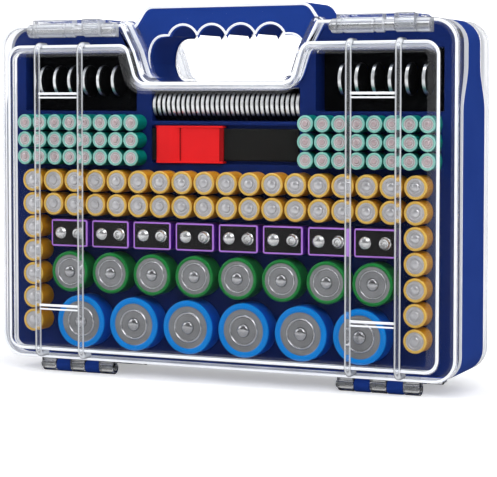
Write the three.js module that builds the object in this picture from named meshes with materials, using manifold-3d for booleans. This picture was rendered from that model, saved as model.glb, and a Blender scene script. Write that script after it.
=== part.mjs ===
// Double-sided battery organizer case with its cells, tester and coin cells in place.
// X runs across the case, Y from its front to its rear, Z up. Millimetres.
// The origin is on the standing plane, below the middle of the case.
import * as THREE from 'three';
import { mergeVertices } from 'three/addons/utils/BufferGeometryUtils.js';
import Module from 'manifold-3d';

const wasm = await Module();
wasm.setup();

// Fits shared by all pieces
const gap = 0.3;
const overrun = 2;
const arcSteps = 2;
const seamSteps = 3;
const smallArcSteps = 1;
const weldDistance = 0.0001;

// Case outline, seen from the front
const caseHalfWidth = 155.5;
const caseBottom = 9.5;
const caseTop = 226.5;
const caseCorner = 15;
const bodyDepth = 44.7;
const bodyWall = 2.4;
const notchTopHalf = 66;
const notchTopRadius = 3;
const notchBendHalf = 57;
const notchBend = 209;
const notchBendRadius = 12;
const notchFloorHalf = 50.5;
const notchFloor = 189.5;
const notchFloorRadius = 8;

// Carrying handle
const handleTop = 238.2;
const handleTopHalf = 56;
const handleTopRadius = 9;
const handleFootHalf = 64;
const handleRootHalf = 70;
const handleRoot = 222;
const handleDepthShare = 0.783;
const gripFloorHalf = 51;
const gripHalf = 54.5;
const gripWidest = 200;
const gripShoulder = 219;
const gripShoulderHalf = 43;
const fingerCount = 4;
const fingerPitch = 20;
const fingerArch = 6.7;

// Clear covers
const coverWall = 1.8;
const rimDepth = 11.85;
const windowRise = 9;
const windowInset = 10;
const windowBottom = 15.2;
const windowTop = 211.3;
const windowCorner = 8;
const windowNotchTopHalf = 60;
const windowNotchTopRadius = 6;
const windowNotchFloorHalf = 53;
const windowNotchFloor = 187.2;
const windowNotchFloorRadius = 9;
const handlePlate = 2.2;
const handleStepWall = 2.4;
const cornerReach = 13;
const cornerReachInset = 10;
const cornerReachFoot = 171;
const cornerReachFull = 199;
const cornerPlay = 0.6;
const ribWidth = 4;
const ribRise = 3;
const ribRound = 4;
const ribOverhang = 3.6;
const ribInnerX = 91;
const ribOuterX = 122.3;
const crossbarHeight = 4;
const crossbarRise = 2.2;
const crossbarHigh = 180.9;
const crossbarLow = 44.6;

// Hinges along the bottom
const hingeX = 103.9;
const hingeProud = 0.15;
const hingeZ = 4.2;
const knuckleRadius = 4.2;
const knuckleLength = 10.6;
const knuckleCount = 5;
const knuckleSides = 10;
const pinRadius = 1.5;
const pinPlay = 0.3;
const pinHeadRadius = 2.6;
const pinHead = 1.4;
const pinSides = 6;

// Latches along the top
const latchX = 104.5;
const latchShift = 5.25;
const latchSpan = 62;
const latchLeftLug = 3.5;
const latchRightLug = 8.5;
const latchBarrel = 4.4;
const latchStandOff = 0.4;
const latchAxisDrop = 4.3;
const latchPlateLift = 0.4;
const latchPlate = 2.2;
const latchReach = 26;
const latchSlotWidth = 8;
const latchSlotDepth = 5;
const latchGripWidth = 12.2;
const latchGripProud = 1.4;
const latchGripWall = 2.2;
const latchGripDrop = 3.2;
const latchGripRise = 1.5;
const keeperDepth = 2;
const keeperHeight = 1.8;
const latchSides = 10;

// Cells that stand in the front tray: radius, terminal radius and height, the height of the
// cell's face in front of the body's front plane, and its depth behind it as a share of the body's
const penlight = { radius: 7.25, tipRadius: 2.75, tip: 1, proud: 15.2, depthShare: 0.79, sides: 8 };
const slimline = { radius: 5.25, tipRadius: 1.9, tip: 0.8, proud: 13.6, depthShare: 0.691, sides: 6 };
const baby = { radius: 13.1, tipRadius: 3.75, tip: 1.5, proud: 15.1, depthShare: 0.781, sides: 10 };
const mono = { radius: 17.1, tipRadius: 4.75, tip: 1.6, proud: 15.5, depthShare: 1.029, sides: 12 };
const cellBead = 0.8;
const penlightPitchX = 15.36;
const penlightPitchZ = 15.25;
const penlightTopRow = 126.1;
const penlightColumns = 18;
const penlightRows = 2;
const penlightSideRows = 7;
const slimlineFirstX = 59.6;
const slimlinePitch = 11.1;
const slimlineTopRow = 163.5;
const slimlineColumns = 8;
const slimlineRows = 3;
const babyPitch = 29.62;
const babyRow = 67.25;
const babyCount = 8;
const monoPitch = 38.2;
const monoRow = 35.2;
const monoCount = 6;

// Nine volt blocks
const blockWidth = 26.5;
const blockHeight = 17.5;
const blockDepthShare = 0.765;
const blockCorner = 2;
const blockProud = 12.2;
const blockPitch = 29.88;
const blockRow = 92.1;
const blockCount = 8;
const terminalOffset = 6.35;
const terminalHeight = 2;
const terminalSmall = 2.9;
const terminalLarge = 3.9;
const terminalSides = 6;

// Coin cells on edge
const coinRadius = 10;
const coinThickness = 3.2;
const coinSides = 10;
const foamCoinFirstX = 78;
const foamCoinPitch = 10.7;
const foamCoinCount = 6;
const foamCoinZ = 190.6;
const foamCoinProud = 2.2;
const coinRowPitch = 3.4;
const coinRowSides = 8;
const middleCoinCount = 30;
const middleCoinZ = 175;
const middleCoinSink = 0.7;
const middleTroughDepth = 10;
const rearCoinCount = 21;
const rearCoinX = 104;
const rearCoinZ = 199.6;
const rearCoinWall = 2.3;
const troughPlay = 0.4;

// Foam blocks
const foamInnerX = 62;
const foamOuterX = 143.2;
const foamBottom = 171.2;
const foamTop = 209;
const foamSink = 13.5;
const foamThickness = 8;

// Battery tester
const testerHalfWidth = 50.7;
const testerBottom = 138.1;
const testerTop = 161.7;
const testerProud = 0.4;
const testerDepth = 14;
const testerRailInset = 1.7;
const testerRailEnd = 49;
const testerRailDepth = 8.5;
const sliderLeft = 46.5;
const sliderWidth = 46.7;
const sliderFace = 2.4;
const sliderStep = 0.8;
const sliderStepWidth = 15;

// Trays: the floor behind a socket, the top of each band of sockets, and the seams between the
// blocks that the front tray is made of
const socketFloor = 1.6;
const monoBandTop = 53.3;
const penlightBandTop = 134;
const slimlineBandTop = 187.8;
const slimlineBlockInner = 52.75;
const slimlineBlockTop = 169.35;

// Cells that lie in the rear tray: radius, length, pitch and height, from the top down
const lyingLong = { radius: 9.25, length: 69, x: 107, firstZ: 177.5, pitchZ: 19.8, rows: 3 };
const lyingShort = { radius: 8.5, length: 34.5, pitchX: 34.9, columns: 4, firstZ: 177.5, pitchZ: 19.8, rows: 3 };
const lyingTiny = { radius: 6, length: 30.2, pitchX: 31.3, columns: 9, firstZ: 119.4, pitchZ: 0, rows: 1 };
const lyingMiddle = { radius: 7.25, length: 50.5, pitchX: 57, columns: 3, firstZ: 103.6, pitchZ: 15.5, rows: 2 };
const lyingSide = { radius: 7.25, length: 50.5, x: 117.5, firstZ: 103.6, pitchZ: 15.5, rows: 3 };
const lyingThin = { radius: 5.15, length: 28.5, pitchX: 39, columns: 4, firstZ: 72.4, pitchZ: 0, rows: 1 };
const lyingSlim = { radius: 5.25, length: 44.5, pitchX: 47.3, columns: 6, firstZ: 58, pitchZ: 11, rows: 4 };
const lyingSides = 6;
const shelfTop = 64;
const shelfBottom = 19;
const shelfHalfWidth = 142.6;

// Places and sizes worked out from the sizes above
const windowHalfWidth = caseHalfWidth - windowInset;
const handleDepth = bodyDepth * handleDepthShare;
const hingeY = bodyDepth / 2 + hingeProud;
const knuckleCorner = knuckleRadius / Math.cos(Math.PI / knuckleSides);
const bodyFront = -bodyDepth / 2;
const bodyRear = bodyDepth / 2;
const coverSeam = bodyFront - gap;
const rimFace = coverSeam - rimDepth;
const windowFace = rimFace - windowRise;
const trayInset = bodyWall + gap;
const latchAxisY = rimFace - latchBarrel - latchStandOff;
const latchAxisZ = caseTop - latchAxisDrop;
const latchPlateBottom = caseTop + latchPlateLift;
const latchPlateTop = latchPlateBottom + latchPlate;
const cellRear = (kind) => bodyFront + bodyDepth * kind.depthShare;
const blockRear = bodyFront + bodyDepth * blockDepthShare;
const foamPocketRear = bodyFront + foamSink + foamThickness + gap;
const topBandReach = foamPocketRear + socketFloor;
const shelfReach = cellRear(mono) + gap + socketFloor + socketFloor + lyingSlim.radius;
const rearCoinY = topBandReach + gap + rearCoinWall + coinRadius;

// Clear polystyrene, blue polypropylene and the finishes of what the case holds
const finish = (color, roughness, metalness = 0) =>
  new THREE.MeshStandardMaterial({ color, roughness, metalness, flatShading: true });
const blue = finish(0x1f3591, 0.45);
const clear = new THREE.MeshStandardMaterial({
  color: 0xdfe6ee, roughness: 0.08, transparent: true, opacity: 0.35, flatShading: true,
});
const steel = finish(0xb9bcc0, 0.3, 0.9);
const foamBlack = finish(0x0b0b0c, 0.95);
const testerBlack = finish(0x1c1d1f, 0.6);
const testerRed = finish(0xd41c1f, 0.45);
const monoBlue = finish(0x1c86e4, 0.4);
const babyGreen = finish(0x2f9a4c, 0.4);
const blockBlack = finish(0x17151c, 0.45);

// Closed mesh of a geometry as a solid that can be joined and cut
function solidOf(geometry) {
  geometry.deleteAttribute('normal');
  geometry.deleteAttribute('uv');
  const welded = mergeVertices(geometry, weldDistance);
  const faces = [];
  for (let i = 0; i < welded.index.count; i += 3) {
    const [a, b, c] = welded.index.array.slice(i, i + 3);
    if (a !== b && b !== c && c !== a) faces.push(a, b, c);
  }
  const vertProperties = Float32Array.from(welded.attributes.position.array);
  return new wasm.Manifold(new wasm.Mesh({ numProp: 3, vertProperties, triVerts: Uint32Array.from(faces) }));
}

function geometryOf(solid) {
  const data = solid.getMesh();
  const geometry = new THREE.BufferGeometry();
  geometry.setAttribute('position', new THREE.BufferAttribute(data.vertProperties, 3));
  geometry.setIndex(new THREE.BufferAttribute(data.triVerts, 1));
  return geometry;
}

const halfTurned = (solid) => solidOf(geometryOf(solid).rotateZ(Math.PI));

function piece(name, solid, material) {
  const geometry = geometryOf(solid);
  geometry.computeVertexNormals();
  const mesh = new THREE.Mesh(geometry, material);
  mesh.name = name;
  return mesh;
}

const joined = (solids) => solids.reduce((whole, solid) => whole.add(solid));
const centred = (count, pitch) => Array.from({ length: count }, (_, i) => (i - (count - 1) / 2) * pitch);
const corner = (x, z, radius = 0) => ({ x, z, radius });

// Outline through corners listed anticlockwise, moved inwards by inset, with each corner rounded
function outline(corners, inset = 0) {
  const shape = new THREE.Shape();
  corners.forEach((here, i) => {
    const last = corners[(i + corners.length - 1) % corners.length];
    const next = corners[(i + 1) % corners.length];
    const before = new THREE.Vector2(here.x - last.x, here.z - last.z).normalize();
    const after = new THREE.Vector2(next.x - here.x, next.z - here.z).normalize();
    const side = Math.sign(before.cross(after));
    const inBefore = new THREE.Vector2(-before.y, before.x);
    const inAfter = new THREE.Vector2(-after.y, after.x);
    const point = inBefore.clone().add(inAfter).multiplyScalar(inset / (1 + inBefore.dot(inAfter)));
    point.add(new THREE.Vector2(here.x, here.z));
    const radius = here.radius > 0 ? Math.max(here.radius - side * inset, 0) : 0;
    const reach = radius * Math.tan(Math.abs(before.angleTo(after)) / 2);
    const start = point.clone().addScaledVector(before, -reach);
    if (i === 0) shape.moveTo(start.x, start.y);
    if (radius === 0) {
      if (i > 0) shape.lineTo(point.x, point.y);
      return;
    }
    const end = point.clone().addScaledVector(after, reach);
    const centre = start.clone().addScaledVector(inBefore, side * radius);
    const from = start.clone().sub(centre).angle();
    const to = end.clone().sub(centre).angle();
    shape.absarc(centre.x, centre.y, radius, from, to, side < 0);
  });
  return shape;
}

// Prism of an outline in the XZ plane between two places on Y
function slab(shape, front, rear, curveSegments = arcSteps) {
  const geometry = new THREE.ExtrudeGeometry(shape, {
    depth: rear - front, bevelEnabled: false, curveSegments,
  });
  geometry.rotateX(Math.PI / 2);
  geometry.translate(0, rear, 0);
  return solidOf(geometry);
}

// Prism of an outline in the YZ plane between two places on X
function sideSlab(shape, left, right, curveSegments = arcSteps) {
  const geometry = new THREE.ExtrudeGeometry(shape, {
    depth: right - left, bevelEnabled: false, curveSegments,
  });
  const turn = new THREE.Matrix4().makeBasis(
    new THREE.Vector3(0, 1, 0), new THREE.Vector3(0, 0, 1), new THREE.Vector3(1, 0, 0));
  geometry.applyMatrix4(turn);
  geometry.translate(left, 0, 0);
  return solidOf(geometry);
}

function block(left, right, front, rear, bottom, top) {
  const geometry = new THREE.BoxGeometry(right - left, rear - front, top - bottom);
  geometry.translate((left + right) / 2, (front + rear) / 2, (bottom + top) / 2);
  return solidOf(geometry);
}

function rodX(radius, left, right, y, z, sides) {
  const geometry = new THREE.CylinderGeometry(radius, radius, right - left, sides);
  geometry.rotateY(Math.PI / sides);
  geometry.rotateZ(Math.PI / 2);
  geometry.translate((left + right) / 2, y, z);
  return solidOf(geometry);
}

function rodY(radius, front, rear, x, z, sides) {
  const geometry = new THREE.CylinderGeometry(radius, radius, rear - front, sides);
  geometry.translate(x, (front + rear) / 2, z);
  return solidOf(geometry);
}

// Outlines of the case, the window, the handle and the finger opening
const caseCorners = [
  corner(-caseHalfWidth, caseBottom, caseCorner),
  corner(caseHalfWidth, caseBottom, caseCorner),
  corner(caseHalfWidth, caseTop, caseCorner),
  corner(notchTopHalf, caseTop, notchTopRadius),
  corner(notchBendHalf, notchBend, notchBendRadius),
  corner(notchFloorHalf, notchFloor, notchFloorRadius),
  corner(-notchFloorHalf, notchFloor, notchFloorRadius),
  corner(-notchBendHalf, notchBend, notchBendRadius),
  corner(-notchTopHalf, caseTop, notchTopRadius),
  corner(-caseHalfWidth, caseTop, caseCorner),
];
const windowCorners = [
  corner(-windowHalfWidth, windowBottom, windowCorner),
  corner(windowHalfWidth, windowBottom, windowCorner),
  corner(windowHalfWidth, windowTop, windowCorner),
  corner(windowNotchTopHalf, windowTop, windowNotchTopRadius),
  corner(windowNotchFloorHalf, windowNotchFloor, windowNotchFloorRadius),
  corner(-windowNotchFloorHalf, windowNotchFloor, windowNotchFloorRadius),
  corner(-windowNotchTopHalf, windowTop, windowNotchTopRadius),
  corner(-windowHalfWidth, windowTop, windowCorner),
];
const handleCorners = [
  corner(-notchFloorHalf, notchFloor - bodyWall),
  corner(notchFloorHalf, notchFloor - bodyWall),
  corner(handleRootHalf, handleRoot),
  corner(handleFootHalf, caseTop),
  corner(handleTopHalf, handleTop, handleTopRadius),
  corner(-handleTopHalf, handleTop, handleTopRadius),
  corner(-handleFootHalf, caseTop),
  corner(-handleRootHalf, handleRoot),
];

// The finger opening: straight floor, leaning sides, round shoulders and one arch for each finger
function gripShape() {
  const floor = notchFloor - bodyWall - overrun;
  const archRadius = ((fingerPitch / 2) ** 2 + fingerArch ** 2) / (2 * fingerArch);
  const archCentre = gripShoulder + fingerArch - archRadius;
  const archStart = Math.asin((gripShoulder - archCentre) / archRadius);
  const shape = new THREE.Shape();
  shape.moveTo(-gripFloorHalf, floor);
  shape.lineTo(gripFloorHalf, floor);
  shape.lineTo(gripHalf, gripWidest);
  shape.quadraticCurveTo(gripHalf, gripShoulder, gripShoulderHalf, gripShoulder);
  centred(fingerCount, -fingerPitch).forEach((x) => {
    shape.absarc(x, archCentre, archRadius, archStart, Math.PI - archStart, false);
  });
  shape.lineTo(-gripShoulderHalf, gripShoulder);
  shape.quadraticCurveTo(-gripHalf, gripShoulder, -gripHalf, gripWidest);
  return shape;
}

// Prism that a cover's deeper upper corner fills, and that the body's wall leaves free
function cornerPrism(side, play) {
  const shape = new THREE.Shape();
  const deep = coverSeam + cornerReach + play;
  const foot = cornerReachFoot - play;
  shape.moveTo(coverSeam - overrun, foot);
  shape.lineTo(coverSeam, foot);
  shape.bezierCurveTo(coverSeam, (foot + cornerReachFull) / 2, deep, foot, deep, cornerReachFull - play);
  shape.lineTo(deep, caseTop + overrun);
  shape.lineTo(coverSeam - overrun, caseTop + overrun);
  const inner = caseHalfWidth - cornerReachInset - play;
  const outer = caseHalfWidth + overrun;
  return side > 0
    ? sideSlab(shape, inner, outer, seamSteps)
    : sideSlab(shape, -outer, -inner, seamSteps);
}

// Knuckle n of the hinge at x, as its two ends
function knuckleEnds(x, n) {
  const left = x + (n - knuckleCount / 2) * knuckleLength;
  return [left + gap / 2, left + knuckleLength - gap / 2];
}

// Knuckles n = first, first + 2, ... with the web that ties each to the wall above
function knuckles(x, first, webFront, webRear) {
  const parts = [];
  for (let n = first; n < knuckleCount; n += 2) {
    const [left, right] = knuckleEnds(x, n);
    parts.push(rodX(knuckleCorner, left, right, -hingeY, hingeZ, knuckleSides));
    parts.push(block(left, right, webFront, webRear, hingeZ, caseBottom + coverWall / 2));
  }
  return joined(parts);
}

const hingeBore = (x) => {
  const half = (knuckleCount / 2) * knuckleLength + overrun;
  return rodX(pinRadius + pinPlay, x - half, x + half, -hingeY, hingeZ, pinSides);
};

// Round pin along X with a head at its left end
function pinSolid(left, right, y, z) {
  const length = right - left;
  const profile = [
    [0, 0], [pinHeadRadius, 0], [pinHeadRadius, pinHead], [pinRadius, pinHead],
    [pinRadius, length], [0, length],
  ].map(([r, along]) => new THREE.Vector2(r, along));
  const geometry = new THREE.LatheGeometry(profile, pinSides);
  geometry.rotateY(Math.PI / pinSides);
  geometry.rotateZ(-Math.PI / 2);
  geometry.translate(left, y, z);
  return solidOf(geometry);
}

// Where the pieces of the latch that starts at x lie along X
function latchPlaces(centre) {
  const left = centre - latchSpan / 2;
  const right = centre + latchSpan / 2;
  return { left, right, flapLeft: left + latchLeftLug + gap, flapRight: right - latchRightLug - gap };
}

const frontLatchCentres = [-latchX + latchShift, latchX + latchShift];

// Body: ring wall, handle, blue knuckles and the keepers in front of which the latches end
function bodyFrame() {
  const hinges = joined([-1, 1].map((side) =>
    knuckles(side * hingeX, 1, bodyFront, -hingeY + knuckleRadius)));
  const keepers = joined(frontLatchCentres.map((centre) => {
    const { flapLeft, flapRight } = latchPlaces(centre);
    const start = latchAxisY + latchReach + gap;
    return block(flapLeft, flapRight, start, start + keeperDepth, caseTop - bodyWall / 2, caseTop + keeperHeight);
  }));
  const bores = joined([-1, 1].map((side) => hingeBore(side * hingeX)));
  const cornerCuts = joined([-1, 1].map((side) => cornerPrism(side, cornerPlay)));
  const cuts = bores.add(cornerCuts);
  const parts = hinges.add(keepers);
  const handle = slab(outline(handleCorners), -handleDepth / 2, handleDepth / 2)
    .subtract(slab(gripShape(), -handleDepth, handleDepth));
  return slab(outline(caseCorners), bodyFront, bodyRear)
    .add(handle)
    .subtract(slab(outline(caseCorners, bodyWall), bodyFront - overrun, bodyRear + overrun))
    .add(parts)
    .add(halfTurned(parts))
    .subtract(cuts)
    .subtract(halfTurned(cuts));
}

// Cover: skirt, rim and raised window in one wall, with bars, handle half, knuckles and latch lugs
function coverSolid() {
  const ribBack = rimFace + coverWall;
  const ribShape = outline([
    corner(windowFace - ribRise, windowBottom - ribOverhang, ribRound),
    corner(ribBack, windowBottom - ribOverhang),
    corner(ribBack, windowTop + ribOverhang),
    corner(windowFace - ribRise, windowTop + ribOverhang, ribRound),
  ]);
  const ribs = [-ribOuterX, -ribInnerX, ribInnerX, ribOuterX].map((x) =>
    sideSlab(ribShape, x - ribWidth / 2, x + ribWidth / 2, smallArcSteps));
  const bars = [-1, 1].flatMap((side) => [crossbarHigh, crossbarLow].map((z) => {
    const ends = [side * ribInnerX, side * ribOuterX].sort((a, b) => a - b);
    return block(ends[0], ends[1], windowFace - crossbarRise, windowFace + coverWall / 2,
      z - crossbarHeight / 2, z + crossbarHeight / 2);
  }));
  const outer = slab(outline(caseCorners), rimFace, coverSeam)
    .add(slab(outline(windowCorners), windowFace, rimFace + coverWall));
  const hollow = slab(outline(caseCorners, coverWall), rimFace + coverWall, coverSeam + overrun)
    .add(slab(outline(windowCorners, coverWall), windowFace + coverWall, rimFace + coverWall + overrun));

  // Clear half of the handle: a plate in front of the blue one, tied to the rim by step walls
  const grip = slab(gripShape(), windowFace - overrun, 0);
  const plateRear = -handleDepth / 2 - gap;
  const plate = slab(outline(handleCorners), plateRear - handlePlate, plateRear);
  const steps = slab(outline(handleCorners), rimFace, plateRear)
    .intersect(slab(outline(caseCorners, -handleStepWall), rimFace, plateRear));
  const bodySpace = slab(outline(caseCorners, -gap), coverSeam, 0);
  const handleHalf = plate.add(steps).subtract(grip).subtract(bodySpace)
    .subtract(slab(outline(caseCorners, coverWall), rimFace + coverWall, 0));

  // Skirt that reaches further back round the two upper corners
  const deepSkirt = slab(outline(caseCorners), coverSeam - gap, coverSeam + cornerReach)
    .subtract(slab(outline(caseCorners, coverWall), coverSeam - overrun, coverSeam + cornerReach + overrun))
    .intersect(cornerPrism(-1, 0).add(cornerPrism(1, 0)));

  const hinges = joined([-1, 1].map((side) =>
    knuckles(side * hingeX, 0, -hingeY - knuckleRadius, coverSeam)));
  const bores = joined([-1, 1].map((side) => hingeBore(side * hingeX)));
  const lugs = joined(frontLatchCentres.flatMap((centre) => {
    const { left, right, flapLeft, flapRight } = latchPlaces(centre);
    return [[left, flapLeft - gap], [flapRight + gap, right]].map(([from, to]) =>
      rodX(latchBarrel, from, to, latchAxisY, latchAxisZ, latchSides).add(
        block(from, to, latchAxisY, rimFace + coverWall / 2, latchAxisZ - latchBarrel, latchAxisZ + latchBarrel)));
  }));
  const lugBores = joined(frontLatchCentres.map((centre) => {
    const { left, right } = latchPlaces(centre);
    return rodX(pinRadius + pinPlay, left - overrun, right + overrun, latchAxisY, latchAxisZ, pinSides);
  }));
  return joined([outer, ...ribs, ...bars])
    .subtract(hollow)
    .add(handleHalf)
    .add(deepSkirt)
    .add(hinges)
    .subtract(bores)
    .add(lugs)
    .subtract(lugBores);
}

// Latch: barrel on its pin, plate over the top of the seam, slot and grip
function latchSolid(centre) {
  const { flapLeft, flapRight } = latchPlaces(centre);
  const gripLeft = flapRight - latchGripWidth;
  const barrel = rodX(latchBarrel, flapLeft, flapRight, latchAxisY, latchAxisZ, latchSides);
  const riser = block(flapLeft, flapRight, latchAxisY - latchBarrel, rimFace - gap, latchAxisZ, latchPlateTop);
  const plate = block(flapLeft, flapRight, latchAxisY, latchAxisY + latchReach, latchPlateBottom, latchPlateTop);
  const slot = block(gripLeft - latchSlotWidth, gripLeft, latchAxisY - latchBarrel - overrun,
    latchAxisY - latchBarrel + latchSlotDepth / 2, latchAxisZ, latchPlateTop + overrun);
  const gripFace = latchAxisY - latchBarrel - latchGripProud;
  const gripBottom = latchAxisZ - latchGripDrop;
  const gripTop = latchPlateTop + latchGripRise;
  const grip = block(gripLeft, flapRight, gripFace, gripFace + latchGripWall, gripBottom, gripTop);
  const bore = rodX(pinRadius + pinPlay, flapLeft - overrun, flapRight + overrun, latchAxisY, latchAxisZ, pinSides);
  return joined([barrel, riser, plate]).subtract(slot).add(grip).subtract(bore);
}

// Round cell that stands along Y with its terminal to the front
function standingCell(kind, x, z) {
  const faceY = bodyFront - kind.proud;
  const length = cellRear(kind) - faceY;
  const profile = [
    [0, length], [kind.radius, length], [kind.radius, kind.tip + cellBead],
    [kind.radius - cellBead, kind.tip], [kind.tipRadius, kind.tip], [kind.tipRadius, 0], [0, 0],
  ].map(([r, along]) => new THREE.Vector2(r, -along));
  const geometry = new THREE.LatheGeometry(profile, kind.sides);
  geometry.rotateX(Math.PI);
  geometry.translate(x, faceY, z);
  return solidOf(geometry);
}

// The round socket that such a cell stands in
function socket(kind, x, z) {
  return rodY(kind.radius + gap, bodyFront - overrun, cellRear(kind) + gap, x, z, kind.sides);
}

function nineVoltBlock(x, z) {
  const face = bodyFront - blockProud;
  const shape = outline([
    corner(x - blockWidth / 2, z - blockHeight / 2, blockCorner),
    corner(x + blockWidth / 2, z - blockHeight / 2, blockCorner),
    corner(x + blockWidth / 2, z + blockHeight / 2, blockCorner),
    corner(x - blockWidth / 2, z + blockHeight / 2, blockCorner),
  ]);
  return slab(shape, face, blockRear, smallArcSteps)
    .add(rodY(terminalSmall, face - terminalHeight, face + cellBead, x - terminalOffset, z, terminalSides))
    .add(rodY(terminalLarge, face - terminalHeight, face + cellBead, x + terminalOffset, z, terminalSides));
}

// Where the cells of the front tray stand
const monoPlaces = centred(monoCount, monoPitch).map((x) => [x, monoRow]);
const babyPlaces = centred(babyCount, babyPitch).map((x) => [x, babyRow]);
const blockPlaces = centred(blockCount, blockPitch).map((x) => [x, blockRow]);
const penlightPlaces = [];
for (let row = 0; row < penlightSideRows; row += 1) {
  const columns = centred(penlightColumns, penlightPitchX);
  const kept = row < penlightRows ? columns : [columns[0], columns[penlightColumns - 1]];
  kept.forEach((x) => penlightPlaces.push([x, penlightTopRow - row * penlightPitchZ]));
}
const slimlinePlaces = [];
for (let row = 0; row < slimlineRows; row += 1) {
  for (let column = 0; column < slimlineColumns; column += 1) {
    const x = slimlineFirstX + column * slimlinePitch;
    const z = slimlineTopRow - row * slimlinePitch;
    slimlinePlaces.push([-x, z], [x, z]);
  }
}

// Space behind the front tray, as a prism along X with one step for each band of cells
function bandPrism(play) {
  const shape = new THREE.Shape();
  const front = bodyFront - overrun;
  const monoReach = cellRear(mono) + socketFloor + play;
  const penlightReach = cellRear(penlight) + socketFloor + play;
  const slimlineReach = cellRear(slimline) + socketFloor + play;
  shape.moveTo(front, 0);
  shape.lineTo(monoReach, 0);
  shape.lineTo(monoReach, monoBandTop + play);
  shape.lineTo(penlightReach, monoBandTop + play);
  shape.lineTo(penlightReach, penlightBandTop + play);
  shape.lineTo(slimlineReach, penlightBandTop + play);
  shape.lineTo(slimlineReach, slimlineBandTop + play);
  shape.lineTo(topBandReach + play, slimlineBandTop + play);
  shape.lineTo(topBandReach + play, caseTop);
  shape.lineTo(front, caseTop);
  return sideSlab(shape, -caseHalfWidth, caseHalfWidth);
}

const fusedCell = (kind, x, z) =>
  rodY(kind.radius, bodyFront - kind.proud + kind.tip, bodyFront + cellBead, x, z, kind.sides);

// Row of coin cells on edge, as discs along X
function coinRow(count, centreX, y, z) {
  return joined(centred(count, coinRowPitch).map((x) =>
    rodX(coinRadius, centreX + x - coinThickness / 2, centreX + x + coinThickness / 2, y, z, coinRowSides)));
}

// Front tray: pockets for foam, tester, coins and large cells, with the small cells in their sockets.
// It is made of four blocks: a lower one, one for each field of slim cells, and an upper one.
function frontTrayBlocks() {
  const foam = [-1, 1].map((side) => {
    const ends = [side * foamInnerX, side * foamOuterX].sort((a, b) => a - b);
    return block(ends[0] - gap, ends[1] + gap, bodyFront - overrun, foamPocketRear,
      foamBottom - gap, foamTop + gap);
  });
  const tester = block(-testerHalfWidth - gap, testerHalfWidth + gap, bodyFront - overrun,
    bodyFront - testerProud + testerDepth + gap, testerBottom - gap, testerTop + gap);
  const rowHalf = (middleCoinCount * coinRowPitch) / 2;
  const trough = block(-rowHalf, rowHalf, bodyFront - overrun, bodyFront + middleTroughDepth,
    middleCoinZ - coinRadius - troughPlay, middleCoinZ + coinRadius + troughPlay);
  const sockets = [
    ...monoPlaces.map(([x, z]) => socket(mono, x, z)),
    ...babyPlaces.map(([x, z]) => socket(baby, x, z)),
    ...blockPlaces.map(([x, z]) => block(
      x - blockWidth / 2 - gap, x + blockWidth / 2 + gap,
      bodyFront - overrun, blockRear + gap,
      z - blockHeight / 2 - gap, z + blockHeight / 2 + gap)),
  ];
  const cells = [
    ...penlightPlaces.map(([x, z]) => fusedCell(penlight, x, z)),
    ...slimlinePlaces.map(([x, z]) => fusedCell(slimline, x, z)),
  ];
  const coins = coinRow(middleCoinCount, 0, bodyFront + middleCoinSink + coinRadius, middleCoinZ);
  const tray = slab(outline(caseCorners, trayInset), bodyFront, shelfReach)
    .intersect(bandPrism(0))
    .subtract(joined([...foam, tester, trough, ...sockets]))
    .add(joined(cells))
    .add(coins);
  const cut = (left, right, bottom, top) =>
    block(left, right, coverSeam - mono.proud, shelfReach, bottom, top);
  const lower = cut(-caseHalfWidth, caseHalfWidth, 0, penlightBandTop);
  const slim = [-1, 1].map((side) => {
    const ends = [side * (slimlineBlockInner + gap / 2), side * caseHalfWidth].sort((a, b) => a - b);
    return cut(...ends, penlightBandTop + gap, slimlineBlockTop - gap / 2);
  });
  const upper = cut(-slimlineBlockInner + gap / 2, slimlineBlockInner - gap / 2, penlightBandTop + gap, caseTop)
    .add(cut(-caseHalfWidth, caseHalfWidth, slimlineBlockTop + gap / 2, caseTop));
  return [lower, ...slim, upper].map((zone) => tray.intersect(zone));
}

// Cells of one kind that lie along X with their axis in the plane at y
function lyingCells(kind, y) {
  const columns = kind.x ? [-kind.x, kind.x] : centred(kind.columns, kind.pitchX);
  const cells = [];
  for (let row = 0; row < kind.rows; row += 1) {
    const z = kind.firstZ - row * kind.pitchZ;
    columns.forEach((x) => {
      cells.push(rodX(kind.radius, x - kind.length / 2, x + kind.length / 2, y, z, lyingSides));
    });
  }
  return joined(cells);
}

// Rear tray: face with the lying cells half sunk in it, and a shelf over the deep sockets
function rearTray() {
  const kinds = [lyingLong, lyingShort, lyingTiny, lyingMiddle, lyingSide, lyingThin];
  const lying = joined(kinds.map((kind) => lyingCells(kind, bodyRear)));
  const shelf = block(-shelfHalfWidth, shelfHalfWidth, bodyRear - overrun, shelfReach, shelfBottom, shelfTop);
  const coins = joined([-1, 1].map((side) =>
    coinRow(rearCoinCount, side * rearCoinX, rearCoinY, rearCoinZ)));
  return slab(outline(caseCorners, trayInset), topBandReach, bodyRear)
    .add(shelf)
    .add(lying)
    .add(lyingCells(lyingSlim, shelfReach))
    .subtract(bandPrism(gap))
    .add(coins);
}

const coinY = bodyFront - foamCoinProud + coinRadius;
const foamCoinPlaces = (side) => Array.from({ length: foamCoinCount }, (_, i) =>
  side * (foamCoinFirstX + i * foamCoinPitch));

// Foam block with a round-bottomed slit for each coin cell
function foamBlock(side) {
  const ends = [side * foamInnerX, side * foamOuterX].sort((a, b) => a - b);
  const face = bodyFront + foamSink;
  const slits = foamCoinPlaces(side).map((x) =>
    rodX(coinRadius + gap, x - coinThickness / 2 - gap, x + coinThickness / 2 + gap, coinY, foamCoinZ, coinSides));
  return block(ends[0], ends[1], face, face + foamThickness, foamBottom, foamTop).subtract(joined(slits));
}

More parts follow.
